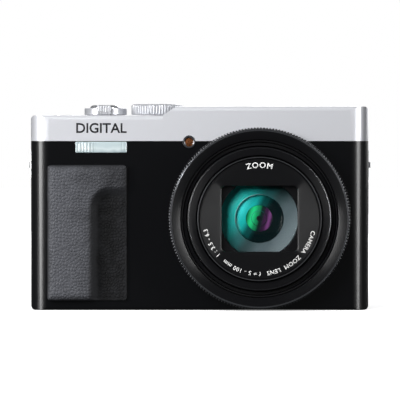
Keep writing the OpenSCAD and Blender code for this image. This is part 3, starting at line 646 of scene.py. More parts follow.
rim_painted_highlight = glass_with_painted_light("element_rim", [(0.0, (0.50, 0.85, 0.88)), (0.3, (0.05, 0.30, 0.30)),
                                  (0.55, (0.003, 0.006, 0.006)), (1.0, (0.010, 0.014, 0.016))], 0.20,
                  np.radians(-45), 8)
element_rim = turned("second_element_rim", np.array([
    (8.02, 14.7), (8.02, 16.75), (7.92, 16.85), (7.82, 16.75), (7.82, 14.7)]), rim_painted_highlight)
place_on(element_rim, "barrel_front", "coated_glass")
rear_painted_light = glass_with_painted_light("green_magenta_painted_light", [(0.0, (0.004, 0.16, 0.06)), (0.22, (0.020, 0.80, 0.28)),
                                           (0.40, (0.010, 0.34, 0.12)), (0.54, (0.004, 0.016, 0.012)),
                                           (0.74, (0.060, 0.006, 0.060)), (0.88, (0.34, 0.09, 0.36)),
                                           (1.0, (0.006, 0.003, 0.008))], 0.10, np.radians(-15), 4.3)
rear_dome = turned("rear_elements", np.concatenate([dome(9, 17.3, 0.9, 4.3, 12)[::-1],
                                                    [(0.9, glass_back), (4.3, glass_back)]]), rear_painted_light)
place_on(rear_dome, "barrel_front", "coated_glass")
inner_line = turned("inner_element_lines", np.array([
    (2.62, 16.80), (2.62, 17.00), (2.54, 17.02), (2.46, 17.00), (2.46, 16.80)]), rim_painted_highlight)
place_on(inner_line, "barrel_front", "coated_glass")
# Painted shade: a black disc stands for the dark inside of the lens seen through its pupil.
pupil_black = glass_with_painted_light("pupil_black", [(0.0, (0.003, 0.003, 0.004)), (1.0, (0.001, 0.001, 0.001))], 0.4,
                     np.radians(-30), 1)
pupil = turned("pupil", np.array([(0.95, 14.7), (0.95, 17.22), (0.0, 17.0), (0.0, 14.7)]), pupil_black, 48)
place_on(pupil, "barrel_front", "coated_glass")

clear_glass, nodes, links, shader = new_material("front_element_glass")
two_tone(nodes, links, shader, noise_over(nodes, links, 90), (0.000, 0.010, 0.010), (0.002, 0.016, 0.018))
shader.inputs["Roughness"].default_value = 0.04
shader.inputs["Alpha"].default_value = 0.22
shader.inputs["Specular IOR Level"].default_value = 0.8
front_dome = turned("front_element", np.concatenate([
    dome(25.5, 20.3, 0.0, 12.8, 26), dome(25.5, 21.2, 0.0, 12.8, 26)[::-1]]), clear_glass, 128)
front_dome.visible_shadow = False
place_on(front_dome, "barrel_front", "coated_glass")

# ---- Grip and thumb pad ----
# Moulded rubber pads with a leather grain, glued into shallow pockets of the covers. The front one
# swells into a ridge that turns a corner for the fingers; the one behind is a thin flat rest.

seed = np.random.default_rng(471)


def cell_noise(x, z, cell):
    """Leather cells: each point's distances to its nearest and second nearest scattered seed; the
    difference is small along the creases between cells and large on their crowns."""
    columns, rows = int(np.ptp(x) / cell) + 6, int(np.ptp(z) / cell) + 6
    jitter = seed.uniform(-0.46, 0.46, (columns, rows, 2))
    i, k = np.floor((x - x.min()) / cell).astype(int), np.floor((z - z.min()) / cell).astype(int)
    nearest, second = np.full(x.shape, 99.0), np.full(x.shape, 99.0)
    for step_i, step_k in np.ndindex(5, 5):
        a, b = i + step_i, k + step_k
        at_x = x.min() + (a - 2 + 0.5 + jitter[a, b, 0]) * cell
        at_z = z.min() + (b - 2 + 0.5 + jitter[a, b, 1]) * cell
        far = np.hypot(x - at_x, z - at_z)
        second = np.minimum(second, np.maximum(nearest, far))
        nearest = np.minimum(nearest, far)
    return (second - nearest) / cell


def quarter_round(edge, radius):
    """The rise of a quarter circle, from 0 at the edge to 1 a radius inside it: the root of one less
    the square of the way still to go."""
    return np.sqrt(np.clip(1 - (1 - np.clip(edge / radius, 0, 1)) ** 2, 0, 1))


def rubber_pad(name, corners, corner_r, back, facing, height, step, material):
    """A pad over a rounded rectangle: a square grid whose corners are drawn in to quarter circles,
    raised by height(x, z, edge distance), with a skirt down to the cover and a flat back."""
    low_x, low_z, high_x, high_z = corners
    columns, rows = (int(round(d / step)) + 1 for d in (high_x - low_x, high_z - low_z))
    x, z = np.meshgrid(np.linspace(low_x, high_x, columns), np.linspace(low_z, high_z, rows), indexing="ij")
    from_x, from_z = x - (low_x + high_x) / 2, z - (low_z + high_z) / 2
    a = np.clip((np.abs(from_x) - (high_x - low_x) / 2 + corner_r) / corner_r, 0, 1)
    b = np.clip((np.abs(from_z) - (high_z - low_z) / 2 + corner_r) / corner_r, 0, 1)
    both = (a > 0) & (b > 0)
    x = x - np.where(both, np.sign(from_x) * corner_r * a * (1 - np.sqrt(1 - b * b / 2)), 0)
    z = z - np.where(both, np.sign(from_z) * corner_r * b * (1 - np.sqrt(1 - a * a / 2)), 0)
    edge = np.minimum(np.minimum(x - low_x, high_x - x), np.minimum(z - low_z, high_z - z))
    rise = height(x, z, np.maximum(edge, 0))
    top = np.stack([x, back + facing * rise, z], axis=-1).reshape(-1, 3)
    number = np.arange(columns * rows).reshape(columns, rows)
    loop = np.concatenate([number[:-1, 0], number[-1, :-1], number[:0:-1, -1], number[0, :0:-1]])
    skirt = top[loop].copy()
    skirt[:, 1] = back
    faces = grid_faces(columns, rows)
    after = np.roll(np.arange(len(loop)), -1)
    wall = np.stack([loop, len(top) + np.arange(len(loop)), len(top) + after, loop[after]], axis=1)
    base = (len(top) + np.arange(len(loop))).tolist()
    everything = faces.tolist() + wall.tolist() + [base]
    piece = make_piece(name, np.concatenate([top, skirt]), everything, material, 75)
    smooth_rise = np.concatenate([rise.ravel(), np.zeros(len(loop))])
    piece.data.attributes.new("rise", "FLOAT", "POINT").data.foreach_set("value", smooth_rise)
    return piece


def leather_rubber(name, colour, roughness, hollow, crown):
    """Grained rubber with painted shade: the crowns are painted a lighter grey than the hollows, given as
    heights of the pad in millimetres, so the low parts read as shaded; a fine moulded texture lies over all."""
    material, nodes, links, shader = new_material(name)
    broad = noise_over(nodes, links, 220)
    fine = noise_over(nodes, links, 5200, 4)
    rise = nodes.new("ShaderNodeAttribute")
    rise.attribute_name = "rise"
    shade_and_gloss_height = nodes.new("ShaderNodeMapRange")
    shade_and_gloss_height.inputs["From Min"].default_value = hollow
    shade_and_gloss_height.inputs["From Max"].default_value = crown
    shade_and_gloss_height.inputs["To Max"].default_value = 0.85
    links.new(rise.outputs["Fac"], shade_and_gloss_height.inputs["Value"])
    patchy = nodes.new("ShaderNodeMath")
    patchy.operation = "MULTIPLY_ADD"
    patchy.inputs[1].default_value = 0.30
    links.new(broad, patchy.inputs[0])
    links.new(shade_and_gloss_height.outputs["Result"], patchy.inputs[2])
    # Painted shade: the tone runs from near black on the low parts to the full colour on the crowns, so the
    # ridge's flank and the hollows are painted dark.
    tone = nodes.new("ShaderNodeValToRGB")
    tone.color_ramp.elements[0].position = 0.14
    tone.color_ramp.elements[0].color = (*[c * 0.04 for c in colour], 1)
    tone.color_ramp.elements[1].position = 0.95
    tone.color_ramp.elements[1].color = (*[c * 1.15 for c in colour], 1)
    for at, share in ((0.30, 0.20), (0.62, 0.34)):
        shade_step = tone.color_ramp.elements.new(at)
        shade_step.color = (*[c * share for c in colour], 1)
    links.new(patchy.outputs["Value"], tone.inputs["Fac"])
    links.new(tone.outputs["Color"], shader.inputs["Base Color"])
    gloss = nodes.new("ShaderNodeMapRange")
    gloss.inputs["To Min"].default_value = 0.78
    gloss.inputs["To Max"].default_value = roughness
    links.new(shade_and_gloss_height.outputs["Result"], gloss.inputs["Value"])
    uneven = nodes.new("ShaderNodeMath")
    uneven.operation = "MULTIPLY_ADD"
    uneven.inputs[1].default_value = 0.10
    links.new(fine, uneven.inputs[0])
    links.new(gloss.outputs["Result"], uneven.inputs[2])
    links.new(uneven.outputs["Value"], shader.inputs["Roughness"])
    relief_from(nodes, links, shader, fine, 0.5, 0.03 * mm)
    shader.inputs["Specular IOR Level"].default_value = 0.30
    return material


grip_rubber = leather_rubber("grip_rubber", (0.060, 0.062, 0.070), 0.38, 0.5, 3.9)
thumb_rubber = leather_rubber("thumb_rubber", (0.050, 0.051, 0.057), 0.50, 0.3, 0.9)
grip_low, grip_high = box_mm("grip_pad")
grip_step = (-36.4, 40.6)
grip_bend = 6.6
flank_width = 4.4
ridge_height = 3.35


def grip_height(x, z, edge):
    """The ridge's distance function is measured to an L with a round inner corner; its flank falls
    in an S, deepest at the ridge's foot, and a quarter round finishes every border. The grain is
    pressed everywhere but along the border."""
    out_x, out_z = x - grip_step[0], grip_step[1] - z
    corner_x, corner_z = grip_bend - out_x, grip_bend - out_z
    in_bend = (corner_x > 0) & (corner_z > 0)
    inside = np.where(in_bend, grip_bend - np.hypot(corner_x, corner_z), np.minimum(out_x, out_z))
    fall = np.clip((inside + 0.5) / flank_width, 0, 1)
    ridge = (1 - fall * fall * (3 - 2 * fall)) ** 1.35
    # The crown falls away to the right; through the rubber's painted shade this also darkens the ridge
    # towards the right.
    crown = 1 - 0.42 * np.clip((x - grip_low[0]) / 22, 0, 1) ** 1.5
    ridge = ridge * crown * (0.25 + 0.75 * quarter_round(edge, 2.6))
    lip = quarter_round(edge, 0.5)
    calm = 0.25 + 0.75 * (1 - 4 * fall * (1 - fall))
    grain = np.minimum(cell_noise(x, z * 0.92, 1.0) * 2.2, 1) * 0.23 * calm
    grain = grain + np.minimum(cell_noise(x, z, 0.55) * 2.0, 1) * 0.04 * calm
    quiet = np.clip((edge - 0.3) / 0.7, 0, 1)
    lean = np.clip((x - grip_step[0] - 4) / 8.5, 0, 1)
    swell = 0.30 * lean * lean * (3 - 2 * lean) * (1 - ridge)
    return (0.25 + 0.30 * lip) + ridge_height * ridge + swell * lip + (grain - 0.24) * quiet + 0.02


grip_pad = rubber_pad("leather_grip", (grip_low[0], grip_low[2], grip_high[0], grip_high[2]), 1.6,
                      grip_high[1], -1, grip_height, 0.15, grip_rubber)
place_on(grip_pad, "body", "grip_rubber", "grip_pad")

thumb_low, thumb_high = box_mm("thumb_pad")


def thumb_height(x, z, edge):
    """A thin pad with a quarter-round border, slightly raised to one side, with the same grain."""
    lip = quarter_round(edge, 0.5)
    lean = 0.14 * np.clip((thumb_high[0] - x) / 16, 0, 1)
    grain = np.minimum(cell_noise(x, z, 0.98) * 2.2, 1) * 0.11
    return 0.08 + (0.42 + lean) * lip + (grain - 0.05) * np.clip((edge - 0.3) / 0.7, 0, 1)


thumb_pad = rubber_pad("thumb_rest", (thumb_low[0], thumb_low[2], thumb_high[0], thumb_high[2]), 2.4,
                       thumb_low[1], 1, thumb_height, 0.16, thumb_rubber)
place_on(thumb_pad, "body", "grip_rubber", "thumb_pad")

# ---- Flash and assist lamp ----
# A clear moulded flash window, fluted inside at its ends, over a polished trough with the tube in
# it; and a small amber lamp lens pressed into a bright turned bezel.

flash_low, flash_high = box_mm("flash_window")
flash_face = flash_low[1]
window_clear, nodes, links, shader = new_material("flash_window_clear")
place = nodes.new("ShaderNodeTexCoord")
parts = nodes.new("ShaderNodeSeparateXYZ")
links.new(place.outputs["Object"], parts.inputs["Vector"])
haze = noise_over(nodes, links, 380)
across = nodes.new("ShaderNodeMapRange")
across.inputs["From Min"].default_value = flash_low[2] * mm
across.inputs["From Max"].default_value = flash_high[2] * mm
links.new(parts.outputs["Z"], across.inputs["Value"])
blend = nodes.new("ShaderNodeMath")
blend.operation = "MULTIPLY_ADD"
blend.inputs[1].default_value = 0.5
links.new(haze, blend.inputs[0])
links.new(across.outputs["Result"], blend.inputs[2])
tone = nodes.new("ShaderNodeValToRGB")
tone.color_ramp.elements[0].position = 0.25
tone.color_ramp.elements[0].color = (0.27, 0.34, 0.36, 1)
tone.color_ramp.elements[1].position = 0.60
tone.color_ramp.elements[1].color = (0.50, 0.57, 0.58, 1)
edge_tone = tone.color_ramp.elements.new(1.15 / 1.3)
edge_tone.color = (0.42, 0.50, 0.52, 1)
links.new(blend.outputs["Value"], tone.inputs["Fac"])
# Painted shade: the colour is scaled darker where the window's face lies low, in the troughs of the flutes
# and on the sunken ends.
crease = nodes.new("ShaderNodeAttribute")
crease.attribute_name = "rise"
depth = nodes.new("ShaderNodeMapRange")
depth.inputs["From Min"].default_value = 0.24
depth.inputs["From Max"].default_value = 0.40
depth.inputs["To Min"].default_value = 0.42
links.new(crease.outputs["Fac"], depth.inputs["Value"])
shaded = nodes.new("ShaderNodeVectorMath")
shaded.operation = "SCALE"
links.new(tone.outputs["Color"], shaded.inputs[0])
links.new(depth.outputs["Result"], shaded.inputs["Scale"])
links.new(shaded.outputs["Vector"], shader.inputs["Base Color"])
shader.inputs["Roughness"].default_value = 0.16
shader.inputs["Coat Weight"].default_value = 1.0
shader.inputs["Coat Roughness"].default_value = 0.04


def flash_height(x, z, edge):
    """A flat face with a small round border; upright flutes, close together at the ends and
    shallow in the middle, ripple it."""
    lip = quarter_round(edge, 0.35)
    left = np.clip((flash_low[0] + 7.6 - x) / 3.0, 0, 1)
    right = 0.5 * np.clip((x - flash_high[0] + 3.2) / 1.5, 0, 1)
    side = np.maximum(left, right)
    flute = 0.20 * side * np.abs(np.sin((x - flash_low[0]) * np.pi / 1.02)) * np.clip(edge / 0.4, 0, 1)
    return 0.22 + 0.22 * lip - 0.20 * side * np.clip(edge / 0.4, 0, 1) + flute


flash_lens = rubber_pad("flash_lens", (flash_low[0], flash_low[2], flash_high[0], flash_high[2]), 0.6,
                        flash_face + 0.5, -1, flash_height, 0.09, window_clear)
place_on(flash_lens, "body", "clear_window", "flash_window")

lamp_low, lamp_high = box_mm("af_lamp")
lamp_middle = (lamp_low + lamp_high) / 2
lamp_place = (lamp_middle[0], 0, lamp_middle[2])
lamp_front = -lamp_low[1]
lamp_r = (lamp_high[0] - lamp_low[0]) / 2
bezel = turned("lamp_bezel", rounded([(lamp_r, lamp_front - 2.8), (lamp_r, lamp_front),
                                      (lamp_r - 0.62, lamp_front - 0.16), (lamp_r - 0.66, lamp_front - 2.8)],
                                     [0.05, 0.28, 0.12, 0.05], 4), anodised_bright, 72,
               centre=lamp_place)
place_on(bezel, "body", "steel", "af_lamp")
amber, nodes, links, shader = new_material("amber_lens")
place = nodes.new("ShaderNodeTexCoord")
glow_cells = nodes.new("ShaderNodeTexVoronoi")
glow_cells.inputs["Scale"].default_value = 2600
links.new(place.outputs["Object"], glow_cells.inputs["Vector"])
tone = nodes.new("ShaderNodeValToRGB")
tone.color_ramp.elements[0].color = (0.21, 0.070, 0.018, 1)
tone.color_ramp.elements[1].position = 0.8
tone.color_ramp.elements[1].color = (0.035, 0.012, 0.005, 1)
links.new(glow_cells.outputs["Distance"], tone.inputs["Fac"])
links.new(tone.outputs["Color"], shader.inputs["Base Color"])
shader.inputs["Roughness"].default_value = 0.12
shader.inputs["Coat Weight"].default_value = 1.0
lamp_lens = turned("lamp_lens", np.concatenate([
    [(1.46, lamp_front - 2.6)], dome(2.6, lamp_front - 0.35, 0.0, 1.46, 8)[::-1],
    [(0.0, lamp_front - 2.6)]]), amber, 64, centre=lamp_place)
place_on(lamp_lens, "body", "amber")

# ---- Top controls ----
# Turned and anodised aluminium: a domed release inside the ring-shaped zoom lever, a knurled mode
# dial, and two flush buttons. Their marks are filled with dark paint.

turned_silver = turned_black("turned_silver", (0.72, 0.73, 0.76), 0.26, 3800, 0.85, 0.5, 0.5)
dark_fill = print_ink("dark_fill", (0.006, 0.006, 0.008), 0.5)
record_red = print_ink("record_red", (0.42, 0.02, 0.02), 0.35)


def middle_of(node):
    """The centre of a CAD node's box, and its half sizes, in millimetres."""
    low, high = box_mm(node)
    return (low + high) / 2, (high - low) / 2


def ribs(count, depth, low, high, outer):
    """A swell for a knurl: rounded ribs on the points near the outer radius between two heights."""
    def wave(profile, angle):
        on_rim = (profile[:, 1] > low) & (profile[:, 1] < high) & (profile[:, 0] > outer - 0.25)
        return -depth * on_rim[:, None] * (1 - np.abs(np.sin(angle * count / 2)) ** 0.6)[None, :]
    return wave


release_middle, release_half = middle_of("shutter_button")
release_top = release_middle[2] + release_half[2]
release_place = (release_middle[0], release_middle[1], 0)
dish_r = np.linspace(4.0, 0.0, 14)
release = turned("shutter_release", np.concatenate([
    rounded([(0.0, release_top - 6.0), (1.5, release_top - 6.0), (1.5, release_top - 1.8),
             (5.2, release_top - 1.8), (5.2, release_top - 0.75), (4.75, release_top - 0.25),
             (4.3, release_top)], [0.1, 0.1, 0.1, 0.15, 0.2, 0.25, 0.3], 3, closed=False),
    np.stack([dish_r, release_top - 0.38 * (1 - (dish_r / 4.15) ** 2)], axis=1)]),
    turned_silver, 160, closed=False, centre=release_place, way="up")
place_on(release, "shutter_button", "silver_paint", "shutter_button")

lever_silver = grain_paint("lever_silver", (0.56, 0.57, 0.60), 0.28, 0.55, 0.04, 0.15, 7000)
lever = from_cad("zoom_lever", "zoom_lever_ring", lever_silver, 0.22 * mm)
place_on(lever, "zoom_lever", "silver_paint", "zoom_lever")
lever_middle, lever_half = middle_of("zoom_lever")
tab_front = lever_middle[1] - lever_half[1]
tab_top = lever_middle[2] + lever_half[2]


def rib_rows(name, starts, ends, radius, material, sides_round=8):
    """Straight half-round ribs from each start to its end: a small circle carried along each line,
    shrunk at both ends so that it closes."""
    starts, ends = np.asarray(starts, float), np.asarray(ends, float)
    way = (ends - starts) / np.linalg.norm(ends - starts, axis=1, keepdims=True)
    side = np.cross(way, np.where(np.abs(way[:, 2:]) > 0.9, [[1.0, 0, 0]], [[0, 0, 1.0]]))
    side /= np.linalg.norm(side, axis=1, keepdims=True)
    up = np.cross(way, side)
    along = np.array([0, 0.02, 0.08, 0.92, 0.98, 1.0])
    fat = np.array([0.02, 0.7, 1, 1, 0.7, 0.02]) * radius
    turn = np.arange(sides_round) * 2 * np.pi / sides_round
    circle = (np.cos(turn)[:, None] * side[:, None, None, :] + np.sin(turn)[:, None] * up[:, None, None, :])
    line = starts[:, None, :] + along[None, :, None] * (ends - starts)[:, None, :]
    points = line[:, :, None, :] + fat[None, :, None, None] * circle
    one = grid_faces(len(along), sides_round, close_columns=True)
    size = len(along) * sides_round
    caps = [list(range(sides_round))[::-1], list(range(size - sides_round, size))]
    faces = []
    for k in range(len(starts)):
        faces += (one + k * size).tolist() + [[n + k * size for n in cap] for cap in caps]
    return make_piece(name, points.reshape(-1, 3), faces, material, 60)


rib_x = np.linspace(-33.35, -30.15, 5)
lever_ribs = rib_rows("zoom_lever_ribs", [(x, tab_front + 0.16, 65.0) for x in rib_x],
                      [(x, tab_front + 0.16, tab_top - 0.2) for x in rib_x], 0.26, lever_silver)
place_on(lever_ribs, "zoom_lever", "silver_paint")

mode_middle, mode_half = middle_of("mode_dial")
mode_top = mode_middle[2] + mode_half[2]
mode_place = (mode_middle[0], mode_middle[1], 0)
mode_r = mode_half[0]
mode_rib_count = 54
mode_mark_r = 6.4
mode_profile = np.array([
    (0.0, 59.6), (1.9, 59.6), (2.0, 59.7), (2.0, 64.5), (2.1, 64.55), (mode_r - 0.3, 64.58),
    (mode_r, 64.85), (mode_r, 65.4), (mode_r, 66.2), (mode_r, 67.1), (mode_r, 67.6),
    (mode_r - 0.35, 67.95), (mode_r - 0.62, mode_top - 0.03), (mode_r - 0.75, mode_top),
    (mode_r - 0.95, mode_top - 0.10), (7.6, mode_top - 0.10), (7.5, mode_top - 0.2),
    (0.0, mode_top - 0.2)])
mode_dial = turned("mode_dial_knurled", mode_profile, lever_silver, mode_rib_count * 10,
                   ribs(mode_rib_count, 0.55, 64.6, 67.7, mode_r), closed=False, smooth=45,
                   centre=mode_place, way="up")
place_on(mode_dial, "mode_dial", "silver_paint", "mode_dial")
spun_r = np.linspace(7.5, 0.0, 12)
spun = turned("mode_dial_spun_face", np.concatenate([
    np.stack([spun_r, np.full(12, mode_top - 0.09)], axis=1),
    [(0.0, mode_top - 0.14), (7.5, mode_top - 0.14)]]), turned_silver, 128, centre=mode_place, way="up")
place_on(spun, "mode_dial", "silver_paint")


def flat_mark(name, words, size, at, turn, height, material, side="top", weight=0.02):
    """A printed mark: letters turned in their plane and laid on the deck or on the back."""
    points, faces = flat_words(words, size, weight)
    u = points[:, 0] * np.cos(turn) - points[:, 1] * np.sin(turn) + at[0]
    v = points[:, 0] * np.sin(turn) + points[:, 1] * np.cos(turn) + at[1]
    if side == "top":
        places = np.stack([u, v, np.full(len(u), height)], axis=1)
    elif side == "back":
        places = np.stack([2 * at[0] - u, np.full(len(u), height), v], axis=1)
    else:
        places = np.stack([u, np.full(len(u), height), v], axis=1)
    return make_piece(name, places, faces, material, ink=True)


modes = ["P", "A", "S", "M", "C", "1", "2", "AUTO"]
for order, mode in enumerate(modes):
    turn = order * 2 * np.pi / len(modes)
    at = (mode_place[0] - mode_mark_r * np.sin(turn), mode_place[1] + mode_mark_r * np.cos(turn))
    mark = flat_mark("mode_mark_" + mode, mode, 1.15 if mode == "AUTO" else 1.9, at, turn,
                     mode_top - 0.085, dark_fill)
    place_on(mark, "mode_dial", "silver_paint")

for node, colour_mark, mark_r, hole in (("power_button", dark_fill, 1.25, 1.0),
                                        ("movie_button", record_red, 0.95, 0.0)):
    button_middle, button_half = middle_of(node)
    button_top = button_middle[2] + button_half[2]
    flange = button_half[0]
    button_r = flange - 0.6
    profile = np.concatenate([
        rounded([(0.0, button_top - 2.75), (flange, button_top - 2.75), (flange, button_top - 1.75),
                 (button_r, button_top - 1.75), (button_r, button_top)], [0.05, 0.1, 0.1, 0.1, 0.28], 4,
                closed=False)[:-1],
        [(button_r - 0.15, button_top), (button_r - 0.4, button_top - 0.02),
         (button_r * 0.6, button_top - 0.10), (0.0, button_top - 0.16)]])
    cap = turned(node + "_cap", profile, turned_silver, 120, closed=False,
                 centre=(button_middle[0], button_middle[1], 0), way="up")
    place_on(cap, node, "silver_paint", node)
    disc = turned(node + "_mark", np.array([(mark_r, button_top - 0.125), (hole, button_top - 0.125),
                                            (hole, button_top - 0.16), (mark_r, button_top - 0.16)]),
                  colour_mark, 48, centre=(button_middle[0], button_middle[1], 0), way="up")
    place_on(disc, node, "silver_paint")

deck_top = 64.4
hump_top = 67.3
for word, at, size, height in (("W", (-39.6, -7.2), 1.5, deck_top), ("T", (-23.4, -7.2), 1.5, deck_top),
                               ("ON/OFF", (-45.6, 9.2), 1.3, deck_top), ("MIC", (-3.0, 8.6), 1.1, hump_top)):
    mark = flat_mark("deck_mark_" + word.replace("/", "_"), word, size, at, 0.0, height + 0.012, dark_fill)
    place_on(mark, "body", "silver_paint")
band_word = flat_mark("band_word", "DIGITAL", 4.5, (-32.6, 60.0), 0.0, -13.012, dark_fill, "front", 0.09)
place_on(band_word, "body", "silver_paint")

# ---- Strap lugs, screws and small fittings ----
# Die-cast lugs let into the two ends, plated; the speaker's slotted plate and the port door beside
# them are moulded black plastic, and the screws are blackened steel.

cast_chrome = grain_paint("cast_chrome", (0.82, 0.82, 0.84), 0.24, 0.7, 0.05, 0.3, 2500)
screw_steel = grain_paint("screw_steel", (0.10, 0.10, 0.11), 0.34, 0.9, 0.15, 0.3, 6000)
key_plastic = grain_paint("key_plastic", (0.010, 0.010, 0.012), 0.42, 0.0, 0.15, 0.5, 6500)
for node, piece_name, material, slot, width in (
        ("strap_lugs", "cast_strap_lugs", cast_chrome, "steel", 0.2),
        ("body_screws", "cover_screws", screw_steel, "steel", 0.06),
        ("speaker_grille", "speaker_plate", key_plastic, "dark_key", 0.08),
        ("connector_door", "port_flap", key_plastic, "black_paint", 0.2)):
    fitting = from_cad(node, piece_name, material, width * mm)
    place_on(fitting, "connector_door" if node == "connector_door" else "body", slot, node)

# ---- Viewfinder ----
# A soft rubber eyecup pushed over the finder's frame, a small rectangular eyepiece set back in it,
# and a ribbed dioptre wheel that shows at its side.

eyecup_rubber = grain_paint("eyecup_rubber", (0.012, 0.012, 0.013), 0.62, 0.0, 0.2, 0.8, 3500)
eyecup = from_cad("eyecup", "soft_eyecup", eyecup_rubber, 0.55 * mm)
eyecup.modifiers["edges"].segments = 4
place_on(eyecup, "body", "grip_rubber", "eyecup")


def tinted_glass(name, dark, light, roughness, scale):
    """Coated cover glass: a soft drift between two deep tints under a clear polished coat."""
    material, nodes, links, shader = new_material(name)
    drift = noise_over(nodes, links, scale, 1)
    two_tone(nodes, links, shader, drift, dark, light)
    gloss_from(nodes, links, shader, drift, roughness * 0.6, roughness * 1.5)
    shader.inputs["Coat Weight"].default_value = 0.6
    shader.inputs["Coat Roughness"].default_value = 0.03
    return material


eyepiece_glass = tinted_glass("eyepiece_glass", (0.004, 0.012, 0.018), (0.018, 0.010, 0.030), 0.10, 160)
eyepiece = from_cad("eyepiece_lens", "eyepiece_glass_block", eyepiece_glass, 0.35 * mm)
place_on(eyepiece, "body", "coated_glass", "eyepiece_lens")

wheel_middle, wheel_half = middle_of("diopter_dial")
wheel_r = wheel_half[0]
wheel_rib_count = 28
wheel = turned("dioptre_wheel", np.concatenate([
    [(0.0, 57.2), (0.9, 57.2), (0.9, 58.55), (wheel_r - 0.3, 58.6), (wheel_r, 58.8)],
    np.stack([np.full(4, wheel_r), np.linspace(59.0, 60.6, 4)], axis=1),
    [(wheel_r, 60.8), (wheel_r - 0.3, 61.0), (0.9, 61.0), (0.9, 61.8), (0.0, 61.8)]]), key_plastic,
    wheel_rib_count * 8, ribs(wheel_rib_count, 0.25, 58.7, 60.9, wheel_r), closed=False, smooth=45,
    centre=(wheel_middle[0], wheel_middle[1], 0), way="up")
place_on(wheel, "diopter_dial", "dark_key", "diopter_dial")

# ---- Tilting screen ----
# A thin moulded frame with a bonded glass front, on a folded steel plate that swings up on a pin
# between two feet. The picture area shows faintly through the dark glass.

frame_black = grain_paint("frame_black", (0.009, 0.009, 0.010), 0.36, 0.0, 0.15, 0.4, 6000)
screen_frame = from_cad("screen_frame", "screen_surround", frame_black, 0.3 * mm)
place_on(screen_frame, "screen", "dark_key", "screen_frame")

screen_glass_finish, nodes, links, shader = new_material("screen_cover_glass")
glass_low, glass_high = box_mm("screen_glass")
place = nodes.new("ShaderNodeTexCoord")
parts = nodes.new("ShaderNodeSeparateXYZ")
links.new(place.outputs["Object"], parts.inputs["Vector"])
inside = []
for axis_name, index, border in (("X", 0, 3.6), ("Z", 2, 2.4)):
    centred = nodes.new("ShaderNodeMath")
    centred.operation = "SUBTRACT"
    centred.inputs[1].default_value = (glass_low[index] + glass_high[index]) / 2 * mm
    links.new(parts.outputs[axis_name], centred.inputs[0])
    size = nodes.new("ShaderNodeMath")
    size.operation = "ABSOLUTE"
    links.new(centred.outputs["Value"], size.inputs[0])
    limit = nodes.new("ShaderNodeMath")
    limit.operation = "LESS_THAN"
    limit.inputs[1].default_value = ((glass_high[index] - glass_low[index]) / 2 - border) * mm
    links.new(size.outputs["Value"], limit.inputs[0])
    inside.append(limit)
picture = nodes.new("ShaderNodeMath")
picture.operation = "MULTIPLY"
links.new(inside[0].outputs["Value"], picture.inputs[0])
links.new(inside[1].outputs["Value"], picture.inputs[1])
two_tone(nodes, links, shader, picture.outputs["Value"], (0.0025, 0.0025, 0.003), (0.012, 0.013, 0.016))
gloss_from(nodes, links, shader, noise_over(nodes, links, 70), 0.05, 0.14)
screen_glass = from_cad("screen_glass", "screen_cover", screen_glass_finish, 0.12 * mm)
place_on(screen_glass, "screen", "screen_black", "screen_glass")

# ---- Rear keys and control dial ----
# Moulded keys in a satin dark finish round a ribbed dial with a set button at its middle. Their
# marks are printed in white.

dial_middle, dial_half = middle_of("control_dial")
dial_place = (dial_middle[0], 0, dial_middle[2])
dial_back = dial_middle[1] + dial_half[1]
dial_front = dial_middle[1] - dial_half[1]
dial_r = dial_half[0]
dial_rib_count = 60
dial_mark_r = 7.6
dial_satin = turned_black("dial_satin", (0.010, 0.010, 0.011), 0.34, 4500, 0.0, 0.5, 0.6)
dial_profile = np.concatenate([
    [(5.2, dial_front), (dial_r - 0.2, dial_front), (dial_r, dial_front + 0.2)],
    np.stack([np.full(5, dial_r), np.linspace(dial_front + 0.4, dial_back - 0.7, 5)], axis=1),
    [(dial_r - 0.1, dial_back - 0.45), (dial_r - 0.5, dial_back - 0.1), (dial_r - 0.9, dial_back),
     (dial_r - 1.3, dial_back - 0.03), (6.6, dial_back - 0.28), (5.8, dial_back - 0.30),
     (5.45, dial_back - 0.2), (5.2, dial_back - 0.45)]])
control_dial = turned("ribbed_control_dial", dial_profile, dial_satin, dial_rib_count * 8,
                      ribs(dial_rib_count, 0.28, dial_front + 0.3, dial_back - 0.3, dial_r), smooth=45,
                      centre=dial_place, way="back")
place_on(control_dial, "control_dial", "dark_key", "control_dial")
for name, word, turn in (("exposure", "+/-", 0.0), ("timer", "10s", -np.pi / 2), ("macro", "AF", np.pi / 2),
                         ("drive", "WB", np.pi)):
    at = (dial_place[0] + dial_mark_r * np.sin(turn), dial_place[2] + dial_mark_r * np.cos(turn))
    mark = flat_mark("dial_mark_" + name, word, 1.5, at, 0.0, dial_back - 0.12, white_ink, "back")
    place_on(mark, "control_dial", "dark_key")


def key_cap(name, node, centre, radius, top, flange, flange_back, dish, material):
    """A round key: its flange behind the cover, its side, a round edge, and a shallow dished top."""
    face_r = np.linspace(radius - 0.45, 0.0, 10)
    profile = np.concatenate([
        [(0.0, flange_back), (flange, flange_back), (flange, flange_back + 0.8),
         (radius, flange_back + 0.85), (radius, top - 0.4), (radius - 0.06, top - 0.18),
         (radius - 0.2, top - 0.04)],
        np.stack([face_r, top - dish * (1 - (face_r / radius) ** 2)], axis=1)])
    cap = turned(name, profile, material, 128, closed=False, centre=centre, way="back")
    place_on(cap, node, "dark_key", node)


